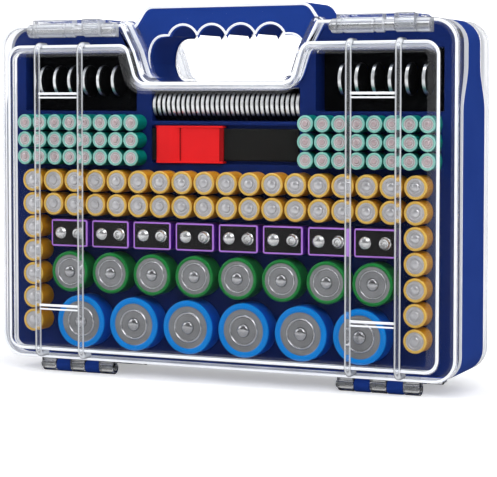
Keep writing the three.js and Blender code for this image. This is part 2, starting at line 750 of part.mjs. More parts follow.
// Tester housing with a rail along both edges of its front
function testerBody() {
  const front = bodyFront - testerProud;
  const rails = [testerBottom, testerTop].map((z) => block(-testerRailEnd, testerRailEnd, front - overrun,
    front + testerRailDepth, z - testerRailInset, z + testerRailInset));
  return block(-testerHalfWidth, testerHalfWidth, front, front + testerDepth, testerBottom, testerTop)
    .subtract(joined(rails));
}

// Red slider: a channel over the housing's front, with a raised step near its left end
function testerSlider() {
  const front = bodyFront - testerProud;
  const cheek = testerRailInset - gap;
  const face = front - gap - sliderFace;
  const channel = block(-sliderLeft - overrun, sliderWidth - sliderLeft + overrun, front - gap,
    front + testerRailDepth, testerBottom + cheek, testerTop - cheek);
  return block(-sliderLeft, sliderWidth - sliderLeft, face, front + testerRailDepth - gap, testerBottom, testerTop)
    .subtract(channel)
    .add(block(-sliderLeft, -sliderLeft + sliderStepWidth, face - sliderStep, face + sliderFace / 2,
      testerBottom, testerTop));
}

const part = new THREE.Group();
part.add(piece('body_frame', bodyFrame(), blue));
const trayNames = ['front_tray_lower', 'front_tray_slim_left', 'front_tray_slim_right', 'front_tray_upper'];
frontTrayBlocks().forEach((solid, i) => part.add(piece(trayNames[i], solid, blue)));
part.add(piece('rear_tray', rearTray(), blue));

// The rear side is the front side turned half round: cover, hinge pins, latches and latch pins
const coverMesh = coverSolid();
for (const face of ['front', 'rear']) {
  const sideGroup = new THREE.Group();
  sideGroup.rotation.z = face === 'front' ? 0 : Math.PI;
  sideGroup.add(piece(`${face}_cover`, coverMesh, clear));
  ['left', 'right'].forEach((name, i) => {
    const hingeHalf = (knuckleCount / 2) * knuckleLength;
    const x = (i === 0 ? -1 : 1) * hingeX;
    const centre = frontLatchCentres[i];
    const { left, right } = latchPlaces(centre);
    const hingePin = pinSolid(x - hingeHalf - gap - pinHead, x + hingeHalf, -hingeY, hingeZ);
    const latchPin = pinSolid(left - gap - pinHead, right, latchAxisY, latchAxisZ);
    sideGroup.add(piece(`${face}_hinge_pin_${name}`, hingePin, steel));
    sideGroup.add(piece(`${face}_latch_${name}`, latchSolid(centre), clear));
    sideGroup.add(piece(`${face}_latch_pin_${name}`, latchPin, steel));
  });
  part.add(sideGroup);
}

part.add(piece('foam_block_left', foamBlock(-1), foamBlack));
part.add(piece('foam_block_right', foamBlock(1), foamBlack));
['left', 'right'].forEach((name, i) => {
  foamCoinPlaces(i === 0 ? -1 : 1).forEach((x, n) => {
    const coin = rodX(coinRadius, x - coinThickness / 2, x + coinThickness / 2, coinY, foamCoinZ, coinSides);
    part.add(piece(`coin_cell_${name}_${n + 1}`, coin, steel));
  });
});
part.add(piece('tester_body', testerBody(), testerBlack));
part.add(piece('tester_slider', testerSlider(), testerRed));
monoPlaces.forEach(([x, z], n) => part.add(piece(`d_cell_${n + 1}`, standingCell(mono, x, z), monoBlue)));
babyPlaces.forEach(([x, z], n) => part.add(piece(`c_cell_${n + 1}`, standingCell(baby, x, z), babyGreen)));
blockPlaces.forEach(([x, z], n) => part.add(piece(`nine_volt_${n + 1}`, nineVoltBlock(x, z), blockBlack)));

export default part;
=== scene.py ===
import math

import bmesh
import bpy
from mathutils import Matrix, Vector
from mathutils.geometry import tessellate_polygon


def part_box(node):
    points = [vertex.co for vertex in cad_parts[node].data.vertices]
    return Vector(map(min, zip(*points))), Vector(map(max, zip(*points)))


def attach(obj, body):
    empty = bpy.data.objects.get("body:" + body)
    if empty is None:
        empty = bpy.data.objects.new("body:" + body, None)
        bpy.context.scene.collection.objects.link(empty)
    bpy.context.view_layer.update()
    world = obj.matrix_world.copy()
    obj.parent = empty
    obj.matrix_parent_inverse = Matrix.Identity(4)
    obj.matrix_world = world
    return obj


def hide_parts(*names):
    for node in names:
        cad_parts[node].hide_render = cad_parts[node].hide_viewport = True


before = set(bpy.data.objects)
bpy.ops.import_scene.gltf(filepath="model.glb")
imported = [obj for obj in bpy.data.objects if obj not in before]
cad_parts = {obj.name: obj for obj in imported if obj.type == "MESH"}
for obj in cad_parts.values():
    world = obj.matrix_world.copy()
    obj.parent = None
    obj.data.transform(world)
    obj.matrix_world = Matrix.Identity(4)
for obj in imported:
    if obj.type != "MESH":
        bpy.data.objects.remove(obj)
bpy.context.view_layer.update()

# The studio: a white sweep of paper under the case, a bright room round it, a large soft lamp
# high on the right, a lower one at the right side, a strip overhead and a weak fill on the left.
# The camera stands to the right of the case, a little above its middle, with a long lens.
WHITE, BLACK = (1.0, 1.0, 1.0), (0.0, 0.0, 0.0)
camera_data = bpy.data.cameras.new("photo_camera")
camera_data.sensor_width = 36.0
camera_data.lens = 128.09
camera_data.shift_x = 0.0161
camera_data.shift_y = -0.0925
camera_data.clip_end = 20.0
camera = bpy.data.objects.new("photo_camera", camera_data)
bpy.context.scene.collection.objects.link(camera)
bpy.context.scene.camera = camera
camera.location = (0.46087, -1.0319, 0.17726)
yaw, pitch = math.radians(24.014), math.radians(2.96)
look = Vector((-math.sin(yaw) * math.cos(pitch), math.cos(yaw) * math.cos(pitch), -math.sin(pitch)))
camera.rotation_euler = look.to_track_quat("-Z", "Y").to_euler()
bpy.context.scene.view_settings.view_transform = "Standard"


class Wire:
    """A shader socket that takes part in sums like a number."""

    def __init__(self, finish, socket):
        self.finish, self.socket = finish, socket

    def maths(self, operation, *values):
        return self.finish.node("ShaderNodeMath", {"operation": operation}, dict(enumerate(values)))

    def __add__(self, other):
        return self.maths("ADD", self, other)

    def __radd__(self, other):
        return self.maths("ADD", other, self)

    def __sub__(self, other):
        return self.maths("SUBTRACT", self, other)

    def __rsub__(self, other):
        return self.maths("SUBTRACT", other, self)

    def __mul__(self, other):
        return self.maths("MULTIPLY", self, other)

    def __rmul__(self, other):
        return self.maths("MULTIPLY", other, self)

    def __pow__(self, other):
        return self.maths("POWER", self, other)

    def between(self, low, high):
        return self.finish.node("ShaderNodeMapRange", {"clamp": True},
                                {"Value": self, "From Min": low, "From Max": high})

    def at_least(self, other):
        return self.maths("MAXIMUM", self, other)


class Finish:
    """A material whose nodes are added one call at a time."""

    def __init__(self, name, tree=None):
        if tree is None:
            self.material = bpy.data.materials.new(name)
            self.material.use_nodes = True
            tree = self.material.node_tree
        self.tree = tree
        tree.nodes.clear()

    def node(self, kind, settings=None, inputs=None, output=0):
        made = self.tree.nodes.new(kind)
        for key, value in (settings or {}).items():
            setattr(made, key, value)
        for key, value in (inputs or {}).items():
            if isinstance(value, Wire):
                self.tree.links.new(value.socket, made.inputs[key])
            elif value is not None:
                made.inputs[key].default_value = value
        return Wire(self, made.outputs[output]) if len(made.outputs) else None

    def place(self, output="Object"):
        return self.node("ShaderNodeTexCoord", output=output)

    def light_path(self, output):
        return self.node("ShaderNodeLightPath", output=output)

    def part_of(self, vector, axis):
        return self.node("ShaderNodeSeparateXYZ", {}, {"Vector": vector}, axis)

    def noise(self, scale, detail=2.0, roughness=0.5):
        return self.node("ShaderNodeTexNoise", {}, {
            "Vector": self.place(), "Scale": scale, "Detail": detail, "Roughness": roughness})

    def mix(self, share, first, second):
        ends = [value if isinstance(value, Wire) else (*value, 1.0) for value in (first, second)]
        return self.node("ShaderNodeMix", {"data_type": "RGBA"}, {0: share, 6: ends[0], 7: ends[1]}, 2)

    def bump(self, height, strength, distance):
        return self.node("ShaderNodeBump", {},
                         {"Height": height, "Strength": strength, "Distance": distance})

    def shade(self, **inputs):
        named = {key.replace("_", " "): value for key, value in inputs.items()}
        for key, value in named.items():
            if key.endswith("Color") and isinstance(value, tuple):
                named[key] = (*value, 1.0)
        return self.node("ShaderNodeBsdfPrincipled", {}, named)

    def blend(self, share, first, second):
        return self.node("ShaderNodeMixShader", {}, {0: share, 1: first, 2: second})

    def out(self, shader, kind="ShaderNodeOutputMaterial"):
        self.node(kind, {}, {"Surface": shader})
        return self


room = bpy.data.worlds.new("bright_room")
bpy.context.scene.world = room
room.use_nodes = True
air = Finish("", room.node_tree)
seen, through = air.light_path("Is Camera Ray"), air.light_path("Is Transmission Ray")
up, back = air.part_of(air.place("Generated"), "Z"), air.part_of(air.place("Generated"), "Y")
room_light = air.mix((up * 0.8 + back * 0.6).between(-0.35, 0.7), (0.1, 0.1, 0.105), (0.72, 0.73, 0.75))
beyond = through * back.between(0.5, 0.8)
air.out(air.node("ShaderNodeBackground", {}, {
    "Color": air.mix(seen.at_least(beyond), room_light, WHITE), "Strength": 1.0}),
    "ShaderNodeOutputWorld")


def soft_lamp(name, place, target, size, watts, height=None):
    data = bpy.data.lights.new(name, "AREA")
    data.energy, data.size = watts, size
    if height:
        data.shape, data.size_y = "RECTANGLE", height
    lamp = bpy.data.objects.new(name, data)
    lamp.location = place
    lamp.rotation_euler = (Vector(target) - Vector(place)).to_track_quat("-Z", "Y").to_euler()
    bpy.context.scene.collection.objects.link(lamp)


soft_lamp("key_lamp", (0.85, -1.1, 1.15), (0.0, 0.0, 0.1), 0.9, 8.0)
soft_lamp("overhead_strip", (0.0, -0.15, 1.3), (0.0, -0.02, 0.1), 1.0, 6.0, 0.35)
soft_lamp("fill_lamp", (-1.3, -1.2, 0.7), (0.0, 0.0, 0.1), 0.9, 4.5)
soft_lamp("side_lamp", (1.5, 0.15, 0.55), (0.1, 0.0, 0.1), 0.8, 3.5)

PAPER_FRONT, PAPER_TOP, PAPER_HALF_WIDTH = -3.0, 4.0, 4.0
SWEEP_START, SWEEP_RADIUS = 1.6, 0.9
paper_rows = [(PAPER_FRONT, 0.0), (SWEEP_START, 0.0)]
paper_rows += [(SWEEP_START + SWEEP_RADIUS * math.sin(a), SWEEP_RADIUS - SWEEP_RADIUS * math.cos(a))
               for a in [math.radians(d) for d in range(9, 91, 9)]]
paper_rows.append((SWEEP_START + SWEEP_RADIUS, PAPER_TOP))
paper_mesh = bpy.data.meshes.new("paper_sweep")
paper_mesh.from_pydata(
    [(x, y, z) for y, z in paper_rows for x in (-PAPER_HALF_WIDTH, PAPER_HALF_WIDTH)], [],
    [(2 * i, 2 * i + 1, 2 * i + 3, 2 * i + 2) for i in range(len(paper_rows) - 1)])
for face in paper_mesh.polygons:
    face.use_smooth = True
paper = bpy.data.objects.new("paper_sweep", paper_mesh)
bpy.context.scene.collection.objects.link(paper)
white_paper = Finish("white_paper")
fibre = white_paper.noise(60.0, 4.0)
far_x, far_y = (white_paper.part_of(white_paper.place(), axis) for axis in "XY")
distance = (far_x * far_x * 0.6 + far_y * far_y) ** 0.5
watched = white_paper.light_path("Is Camera Ray").at_least(
    white_paper.light_path("Is Transmission Ray"))
glow = watched * (distance.between(0.16, 0.42) * 0.6 + 0.4)
paper_tone = white_paper.mix(fibre, (0.86, 0.86, 0.865), (0.88, 0.88, 0.88))
# Rays reflected off the case see the paper dark grey: a painted reflection that lets the metal faces
# show a dim floor.
paper_mesh.materials.append(white_paper.out(white_paper.shade(
    Base_Color=white_paper.mix(white_paper.light_path("Is Glossy Ray"), paper_tone, (0.2, 0.2, 0.205)),
    Roughness=0.9, Specular_IOR_Level=0.1,
    Emission_Color=white_paper.mix(glow, BLACK, WHITE), Emission_Strength=1.0)).material)


# The body: one moulding of blue polypropylene, a ring wall open to the front and the rear, with
# the carrying handle in the notch of its upper side and two knuckles for each hinge below.
# Its finger scallops and grip edges are rounded over, and the wall carries a fine moulded grain.
MM = 0.001
BODY_FACE, WALL = 22.35, 2.4  # the body reaches from -BODY_FACE to BODY_FACE in Y
BODY_SWING = 10.2  # how far its edge swings back at the upper corners
SHARP_ANGLE = math.radians(34.0)


def turns(count):
    return [2 * math.pi * k / count for k in range(count)]


def corner(x, z, radius):
    return (x, z, radius)


def rectangle_corners(x0, x1, z0, z1, edge):
    return [corner(x0, z0, edge), corner(x1, z0, edge), corner(x1, z1, edge), corner(x0, z1, edge)]


def mirrored(corners):
    """The left half of an outline that is the same on both sides, added to its right half."""
    return corners + [(-x, z, r) for x, z, r in reversed(corners)]


def outline(corners, inset=0.0, steps=8):
    """Points of an outline with rounded corners, anticlockwise, moved inwards by inset."""
    points = []
    for i, (x, z, radius) in enumerate(corners):
        before = Vector((x - corners[i - 1][0], z - corners[i - 1][1])).normalized()
        after_x, after_z, _ = corners[(i + 1) % len(corners)]
        after = Vector((after_x - x, after_z - z)).normalized()
        turn = math.atan2(before.x * after.y - before.y * after.x, before.dot(after))
        side = 1.0 if turn >= 0 else -1.0
        in_before, in_after = Vector((-before.y, before.x)), Vector((-after.y, after.x))
        point = Vector((x, z)) + (in_before + in_after) * (inset / (1 + in_before.dot(in_after)))
        rounding = max(radius - side * inset, 0.05)
        start = point - before * (rounding * math.tan(abs(turn) / 2))
        centre = start + in_before * side * rounding
        first = math.atan2(start.y - centre.y, start.x - centre.x)
        for k in range(steps + 1):
            angle = first + turn * k / steps
            points.append((centre.x + rounding * math.cos(angle),
                           centre.y + rounding * math.sin(angle)))
    return points


class Shape:
    """A mesh in millimetres that grows piece by piece, each face with its own finish."""

    def __init__(self):
        self.points, self.faces, self.finishes, self.materials = [], [], [], []

    def finish_index(self, material):
        if material not in self.materials:
            self.materials.append(material)
        return self.materials.index(material)

    def add(self, points, faces, material):
        base, index = len(self.points), self.finish_index(material)
        self.points += [tuple(p) for p in points]
        self.faces += [tuple(base + i for i in face) for face in faces]
        self.finishes += [index] * len(faces)

    def loft(self, loops, materials, closed=False, caps=(True, True)):
        """Skin over loops of points. materials is one finish, or one for each band of faces."""
        count = len(loops[0])
        bands = len(loops) if closed else len(loops) - 1
        if not isinstance(materials, (list, tuple)):
            materials = [materials] * bands
        base = len(self.points)
        self.points += [tuple(p) for loop in loops for p in loop]
        for i in range(bands):
            here, there = base + i * count, base + ((i + 1) % len(loops)) * count
            index = self.finish_index(materials[i])
            for k in range(count):
                n = (k + 1) % count
                self.faces.append((here + k, there + k, there + n, here + n))
                self.finishes.append(index)
        if not closed:
            last = base + (len(loops) - 1) * count
            for wanted, start, way, loop, finish in ((caps[0], base, 1, loops[0], materials[0]),
                                                     (caps[1], last, -1, loops[-1], materials[-1])):
                if wanted:
                    self.cap(loop, start, way, self.finish_index(finish))

    def cap(self, loop, start, way, index):
        """Closes a flat loop with triangles, facing back along the loft or ahead."""
        loop = [Vector(p) for p in loop]
        normal = Vector()
        for i, p in enumerate(loop):
            normal += p.cross(loop[(i + 1) % len(loop)])
        for triangle in tessellate_polygon([loop]):
            a, b, c = (loop[i] for i in triangle)
            if ((b - a).cross(c - a)).dot(normal) * way < 0:
                triangle = triangle[::-1]
            if len(set(triangle)) == 3:
                self.faces.append(tuple(start + i for i in triangle))
                self.finishes.append(index)

    def turned(self, profile, materials, origin, axis, sides):
        """Solid of revolution. The profile is (radius, distance along the axis) from the front."""
        loops = []
        for radius, along in profile:
            loop = []
            for a in turns(sides):
                u, v = max(radius, 0.01) * math.cos(a), max(radius, 0.01) * math.sin(a)
                step = (u, along, v) if axis == "Y" else (along, v, u)
                loop.append(tuple(start + move for start, move in zip(origin, step)))
            loops.append(loop)
        self.loft(loops, materials)

    def rod(self, path, radius, material, sides):
        """Round rod along a path that lies in one plane of constant X or Z."""
        loops = []
        path = [Vector(p) for p in path]
        for i, p in enumerate(path):
            ahead = (path[min(i + 1, len(path) - 1)] - path[max(i - 1, 0)]).normalized()
            out = Vector((1, 0, 0)) if abs(ahead.x) < 0.5 else Vector((0, 0, 1))
            other = ahead.cross(out).normalized()
            loops.append([p + out * (radius * math.cos(a)) + other * (radius * math.sin(a))
                          for a in turns(sides)])
        self.loft(loops, material)

    def bead(self, points, y, radius, material, sides):
        """Round bead along a closed outline in the XZ plane."""
        loops = []
        for i, (x, z) in enumerate(points):
            next_x, next_z = points[(i + 1) % len(points)]
            ahead = Vector((next_x - points[i - 1][0], next_z - points[i - 1][1])).normalized()
            loops.append([(x - ahead.y * radius * math.cos(a), y - radius * math.sin(a),
                           z + ahead.x * radius * math.cos(a)) for a in turns(sides)])
        self.loft(loops, material, closed=True)

    def plate(self, outlines, front, rear, edge, material, rounds):
        """Flat plate in the XZ plane with holes and rounded edges, from filled outlines."""
        curve = bpy.data.curves.new("plate", "CURVE")
        curve.dimensions, curve.fill_mode = "2D", "BOTH"
        curve.extrude = (rear - front) / 2 - edge
        curve.bevel_depth, curve.bevel_resolution, curve.offset = edge, rounds, -edge
        for points in outlines:
            spline = curve.splines.new("POLY")
            spline.points.add(len(points) - 1)
            for at, (x, z) in zip(spline.points, points):
                at.co = (x, z, 0.0, 1.0)
            spline.use_cyclic_u = True
        holder = bpy.data.objects.new("plate", curve)
        mesh = bpy.data.meshes.new_from_object(holder)
        middle = (front + rear) / 2
        self.add([(v.co.x, middle - v.co.z, v.co.y) for v in mesh.vertices],
                 [tuple(p.vertices) for p in mesh.polygons], material)
        bpy.data.objects.remove(holder)
        bpy.data.curves.remove(curve)
        bpy.data.meshes.remove(mesh)

    def box(self, low, high, edge, material):
        """Block with rounded edges."""
        (x0, y0, z0), (x1, y1, z1) = low, high
        e = min(edge, 0.49 * min(x1 - x0, y1 - y0, z1 - z0))
        corners = rectangle_corners(x0, x1, z0, z1, e)
        rows = [(0.99 * e, y0), (0.3 * e, y0 + 0.3 * e), (0.0, y0 + e),
                (0.0, y1 - e), (0.3 * e, y1 - 0.3 * e), (0.99 * e, y1)]
        self.loft([[(x, y, z) for x, z in outline(corners, inset, 3)] for inset, y in rows], material)

    def turned_half_round(self):
        """The same shape for the rear side, turned by half a turn about the upright axis."""
        other = Shape()
        other.points = [(-x, -y, z) for x, y, z in self.points]
        other.faces, other.finishes, other.materials = self.faces, self.finishes, self.materials
        return other

    def piece(self, name, body, slot, *nodes):
        """The finished mesh as an object in metres that rides on a body."""
        mesh = bpy.data.meshes.new(name)
        mesh.from_pydata([(x * MM, y * MM, z * MM) for x, y, z in self.points], [], self.faces)
        for material in self.materials:
            mesh.materials.append(material)
        mesh.polygons.foreach_set("material_index", self.finishes)
        mesh.polygons.foreach_set("use_smooth", [True] * len(self.faces))
        skin = bmesh.new()
        skin.from_mesh(mesh)
        bmesh.ops.remove_doubles(skin, verts=skin.verts, dist=0.001 * MM)
        bmesh.ops.recalc_face_normals(skin, faces=skin.faces)
        skin.to_mesh(mesh)
        skin.free()
        mesh.set_sharp_from_angle(angle=SHARP_ANGLE)
        mesh.validate()
        made = bpy.data.objects.new(name, mesh)
        bpy.context.scene.collection.objects.link(made)
        flat = made.modifiers.new("even_flats", "WEIGHTED_NORMAL")
        flat.keep_sharp = True
        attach(made, body)
        if nodes:
            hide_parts(*nodes)
        return made


def moulded(name, colour, deep, rough, grain=0.12, gloss=0.08):
    """Moulded plastic: a slight unevenness of colour and gloss, and a fine grain."""
    made = Finish(name)
    cloud, fine = made.noise(28.0, 3.0), made.noise(2600.0)
    made.out(made.shade(
        Base_Color=made.mix(cloud.between(0.3, 0.7), colour, deep),
        Roughness=rough + cloud * 0.1 - 0.05,
        Specular_IOR_Level=gloss,
        Normal=made.bump(fine, grain, 0.0002)))
    return made.material


blue_plastic = moulded("blue_polypropylene", (0.016, 0.05, 0.268), (0.014, 0.044, 0.244), 0.5,
                       gloss=0.02)
# The trays are a darker copy of the body's blue: painted shade of the recesses between the cells.
shaded_tray_blue = moulded("shaded_tray_blue", (0.005, 0.019, 0.125), (0.004, 0.015, 0.1), 0.5)

case_corners = mirrored([
    corner(155.5, 9.5, 15), corner(155.5, 226.5, 15), corner(66, 226.5, 3), corner(57, 209, 12),
    corner(50.5, 189.5, 8)])
handle_corners = mirrored([
    corner(50.5, 187.1, 1), corner(70, 222, 2), corner(64, 226.5, 2), corner(56, 238.2, 9)])
SEAM_STATIONS = [165.0 + 2.5 * k for k in range(16)]


def with_stations(points):
    """Adds points up the two long sides, where the seam swings towards the rear."""
    filled = []
    for i, (x, z) in enumerate(points):
        filled.append((x, z))
        next_x, next_z = points[(i + 1) % len(points)]
        if abs(next_z - z) > 100:
            for at in SEAM_STATIONS if next_z > z else SEAM_STATIONS[::-1]:
                filled.append((x + (next_x - x) * (at - z) / (next_z - z), at))
    return filled


def seam_reach(x, z):
    """How far the seam runs towards the rear at a point of the outline: deep at the upper corners."""
    rise, across = (min(max(share, 0.0), 1.0)
                    for share in ((z - 171.0) / 28.0, (abs(x) - 138.0) / 9.0))
    return rise * rise * (3 - 2 * rise) * across * across * (3 - 2 * across)


def stepped_loop(inset, y, depth):
    points = with_stations(outline(case_corners, inset))
    return [(x, y + depth * seam_reach(x, z), z) for x, z in points]


def grip_outline():
    """The finger opening: straight floor, leaning sides, round shoulders, one arch a finger."""
    rise, pitch, shoulder = 6.7, 20.0, 219.0
    floor_x, floor_z, side_x, side_z, shoulder_x = 51.0, 186.0, 54.5, 200.0, 43.0
    radius = ((pitch / 2) ** 2 + rise ** 2) / (2 * rise)
    centre = shoulder + rise - radius
    first = math.asin((shoulder - centre) / radius)
    right = [(floor_x, floor_z)]
    for t in [k / 9 for k in range(10)]:
        start, middle, end = (1 - t) ** 2, 2 * t * (1 - t), t * t
        right.append((start * side_x + middle * side_x + end * shoulder_x,
                      start * side_z + middle * shoulder + end * shoulder))
    arches = []
    for x in (1.5 * pitch, 0.5 * pitch, -0.5 * pitch, -1.5 * pitch):
        for k in range(13):
            a = first + (math.pi - 2 * first) * k / 12
            arches.append((x + radius * math.cos(a), centre + radius * math.sin(a)))
    return right + arches + [(-x, z) for x, z in reversed(right)]


BORE = 1.8
HINGE_X, HINGE_Y, HINGE_Z = (-103.9, 103.9), -22.5, 4.2
KNUCKLE, KNUCKLE_PITCH, KNUCKLE_GAP = 4.2, 10.6, 0.15
LATCH_X = (-99.25, 109.75)


def barrel(shape, rows, y, z, material, sides=28):
    """A tube along X about y and z, open for its pin. Each row is (radius, x)."""
    shape.loft([[(x, y + r * math.sin(a), z + r * math.cos(a)) for a in turns(sides)] for r, x in rows],
               material, closed=True)


def rounded_tube(radius, left, right):
    return [(BORE, left), (radius - 0.5, left), (radius, left + 0.5),
            (radius, right - 0.5), (radius - 0.5, right), (BORE, right)]


def knuckle(shape, x, n, web_front, web_rear, material):
    """Barrel n of the five in a hinge, with the web that ties it to the wall above."""
    start = x + (n - 2.5) * KNUCKLE_PITCH
    left, right = start + KNUCKLE_GAP, start + KNUCKLE_PITCH - KNUCKLE_GAP
    barrel(shape, rounded_tube(KNUCKLE, left, right), HINGE_Y, HINGE_Z, material)
    shape.box((left, web_front, HINGE_Z), (right, web_rear, 10.6), 0.4, material)


def latch_ends(centre_x):
    return centre_x - 27.2, centre_x + 22.2


body = Shape()
body_rounding = [(0.7, 0.0), (0.2, 0.2), (0.0, 0.7)]
body.loft([stepped_loop(inset, -BODY_FACE + back, BODY_SWING) for inset, back in body_rounding]
          + [stepped_loop(inset, BODY_FACE - back, -BODY_SWING) for inset, back in body_rounding[::-1]]
          + [stepped_loop(WALL, BODY_FACE, -BODY_SWING), stepped_loop(WALL, -BODY_FACE, BODY_SWING)],
          blue_plastic, closed=True)
HANDLE_HALF = 17.5
handle_outline = outline(handle_corners, 0.0, 10)
body.plate([handle_outline, grip_outline()], -HANDLE_HALF, HANDLE_HALF, 1.1, blue_plastic, 4)
rear_half = Shape()
for shape in (body, rear_half):
    for hinge_x in HINGE_X:
        for n in (1, 3):
            knuckle(shape, hinge_x, n, -BODY_FACE, -18.3, blue_plastic)
turned = rear_half.turned_half_round()
body.add(turned.points, turned.faces, blue_plastic)
# A low rib for each latch plate to snap over.
for centre_x in LATCH_X:
    left, right = latch_ends(centre_x)
    body.box((left, -13.0, 225.5), (right, -11.0, 228.3), 0.6, blue_plastic)
    body.box((-right, 11.0, 225.5), (-left, 13.0, 228.3), 0.6, blue_plastic)
body.piece("blue_body", "case", "blue_plastic", "body_frame")


# The front tray: a blue moulding that fills the front of the body. It has two foam pockets, the
# tester's pocket and a trough for coin cells, and a round socket for every upright cell.
# The sockets are filled, so each shows as the dark line where its cell enters the tray.
TRAY_INSET, POCKET_EDGE = 2.7, 1.2


def pocket(shape, x0, x1, z0, z1, front, rear, material):
    """Walls and floor of a pocket whose mouth is in the tray's face."""
    corners = rectangle_corners(x0, x1, z0, z1, POCKET_EDGE)
    loops = [[(x, y, z) for x, z in outline(corners, inset, 4)[::-1]]
             for inset, y in ((0.0, front), (0.05, rear - 1.0), (0.35, rear - 0.3), (1.0, rear))]
    shape.loft(loops, material, caps=(False, True))


def rectangle(x0, x1, z0, z1, edge):
    return outline(rectangle_corners(x0, x1, z0, z1, edge), 0.0, 4)


tray = Shape()
tray_outline = outline(case_corners, TRAY_INSET)
# Each mouth is x0, x1, z0, z1 and the y of its floor: two for foam, the tester's and the coins'.
tray_mouths = [(-143.5, -61.7, 170.9, 209.3, -0.6), (61.7, 143.5, 170.9, 209.3, -0.6),
               (-51.0, 51.0, 137.8, 162.0, -8.4), (-51.0, 51.0, 164.6, 185.4, -12.3)]
tray.plate([tray_outline] + [rectangle(*mouth[:4], POCKET_EDGE) for mouth in tray_mouths],
           -BODY_FACE, -BODY_FACE + 3.0, 0.5, shaded_tray_blue, 2)
for mouth in tray_mouths:
    pocket(tray, *mouth[:4], -BODY_FACE + 1.0, mouth[4], shaded_tray_blue)
# The backing steps in at the corners, so that it stays inside the rounded wall of the body.
for reach, band_low, band_high, band_rear in (
        (146.0, 12.5, 17.0, 25.2), (149.4, 16.5, 21.5, 25.2), (152.3, 21.0, 53.3, 25.2),
        (152.3, 53.3, 134.0, 14.4), (152.3, 134.0, 163.0, 10.0)):
    tray.box((-reach, -BODY_FACE + 2.8, band_low), (reach, band_rear, band_high), 0.5, shaded_tray_blue)
for side in (-1, 1):
    for x0, x1, low_z, high_z in ((146.0, 152.3, 163.0, 214.5), (146.0, 149.4, 214.0, 219.5),
                                  (62.0, 146.0, 212.0, 223.2)):
        tray.box((min(side * x0, side * x1), -BODY_FACE + 2.8, low_z),
                 (max(side * x0, side * x1), 10.0, high_z), 0.5, shaded_tray_blue)
tray.piece("front_tray_moulding", "case", "blue_plastic", "front_tray_lower", "front_tray_upper",
           "front_tray_slim_left", "front_tray_slim_right")


# Round alkaline cells: a deep-drawn steel can in a coloured film sleeve. The sleeve is folded
# over the rim, and inside it sits the stamped steel cover with one ring and the raised terminal.
# Large cells stand loose in their sockets, and the small ones fill theirs.
def stamped_steel(name, colour, rough, metallic=0.92, slot_shade_depths=None):
    """Nickel-plated sheet: fine turning marks and soft uneven gloss. slot_shade_depths gives two
    distances from the middle of the case: nearer the middle than the first the steel is painted near
    black, fading to its own colour at the second, a painted shade where a coin sits deep in its slit."""
    made = Finish(name)
    cloud, fine = made.noise(180.0, 3.0), made.noise(4200.0)
    tone = made.mix(cloud.between(0.3, 0.7), colour, tuple(0.86 * c for c in colour))
    if slot_shade_depths:
        # Painted shade: the steel goes near black nearer the middle of the case.
        depth = made.part_of(made.place(), "Y")
        tone = made.mix(depth.maths("ABSOLUTE", depth).between(*slot_shade_depths), (0.01, 0.01, 0.012), tone)
    made.out(made.shade(
        Base_Color=tone,
        Metallic=metallic,
        Roughness=rough + cloud * 0.12 - 0.06,
        Normal=made.bump(fine, 0.02, 0.0001)))
    return made.material


def film_sleeve(name, colour, deep, rough=0.3):
    """Plain shrink film: even colour with a slight unevenness and a soft gloss."""
    made = Finish(name)
    cloud, shrink = made.noise(90.0), made.noise(900.0, roughness=0.6)
    made.out(made.shade(
        Base_Color=made.mix(cloud.between(0.25, 0.75), colour, deep),
        Roughness=rough + cloud * 0.08 - 0.04,
        Specular_IOR_Level=0.12,
        Coat_Weight=0.05,
        Coat_Roughness=0.12,
        Normal=made.bump(shrink, 0.06, 0.0001)))
    return made.material


# The covers of the large cells are nickel painted darker than it is, a painted shade for the dim room
# that they reflect. Their terminals and beads are a lighter, glossier copy of the same steel: painted
# glints.
steel_cover = stamped_steel("stamped_steel_cover", (0.26, 0.262, 0.268), 0.32, 0.8)
steel_bright = stamped_steel("bright_nickel", (0.43, 0.432, 0.43), 0.28)
steel_glint = stamped_steel("tip_and_bead_painted_glint", (0.46, 0.46, 0.47), 0.2, 1.0)
steel_slim = stamped_steel("slim_nickel_cover", (0.72, 0.69, 0.69), 0.38, 0.6)
slim_tip = stamped_steel("slim_terminal", (0.6, 0.47, 0.48), 0.3, 0.7)
small_tip = stamped_steel("small_terminal", (0.62, 0.61, 0.62), 0.32, 0.8)
steel_small = stamped_steel("small_nickel_cover", (0.56, 0.55, 0.56), 0.36, 0.7)
# Each kind of cell has two copies of its one film: a lighter one on the lip folded over its face,
# towards the lamps, and a darker one on its side. These are painted light and painted shade.
large_blue = film_sleeve("azure_sleeve", (0.002, 0.22, 0.66), (0.002, 0.195, 0.6))
large_blue_side = film_sleeve("royal_sleeve", (0.002, 0.085, 0.5), (0.002, 0.06, 0.4))
middle_green = film_sleeve("green_sleeve", (0.006, 0.13, 0.024), (0.005, 0.1, 0.02))
middle_green_lip = film_sleeve("pale_green_lip", (0.012, 0.2, 0.04), (0.01, 0.17, 0.035))
small_gold = film_sleeve("gold_sleeve", (0.72, 0.47, 0.11), (0.64, 0.39, 0.08))
small_gold_side = film_sleeve("amber_sleeve", (0.55, 0.25, 0.01), (0.44, 0.17, 0.006), 0.32)
slim_teal = film_sleeve("pale_teal_lip", (0.27, 0.57, 0.49), (0.22, 0.5, 0.43))
slim_teal_side = film_sleeve("teal_sleeve", (0.0, 0.19, 0.155), (0.0, 0.15, 0.12), 0.32)
rim_black = moulded("black_seal", (0.02, 0.02, 0.022), (0.014, 0.014, 0.015), 0.5)


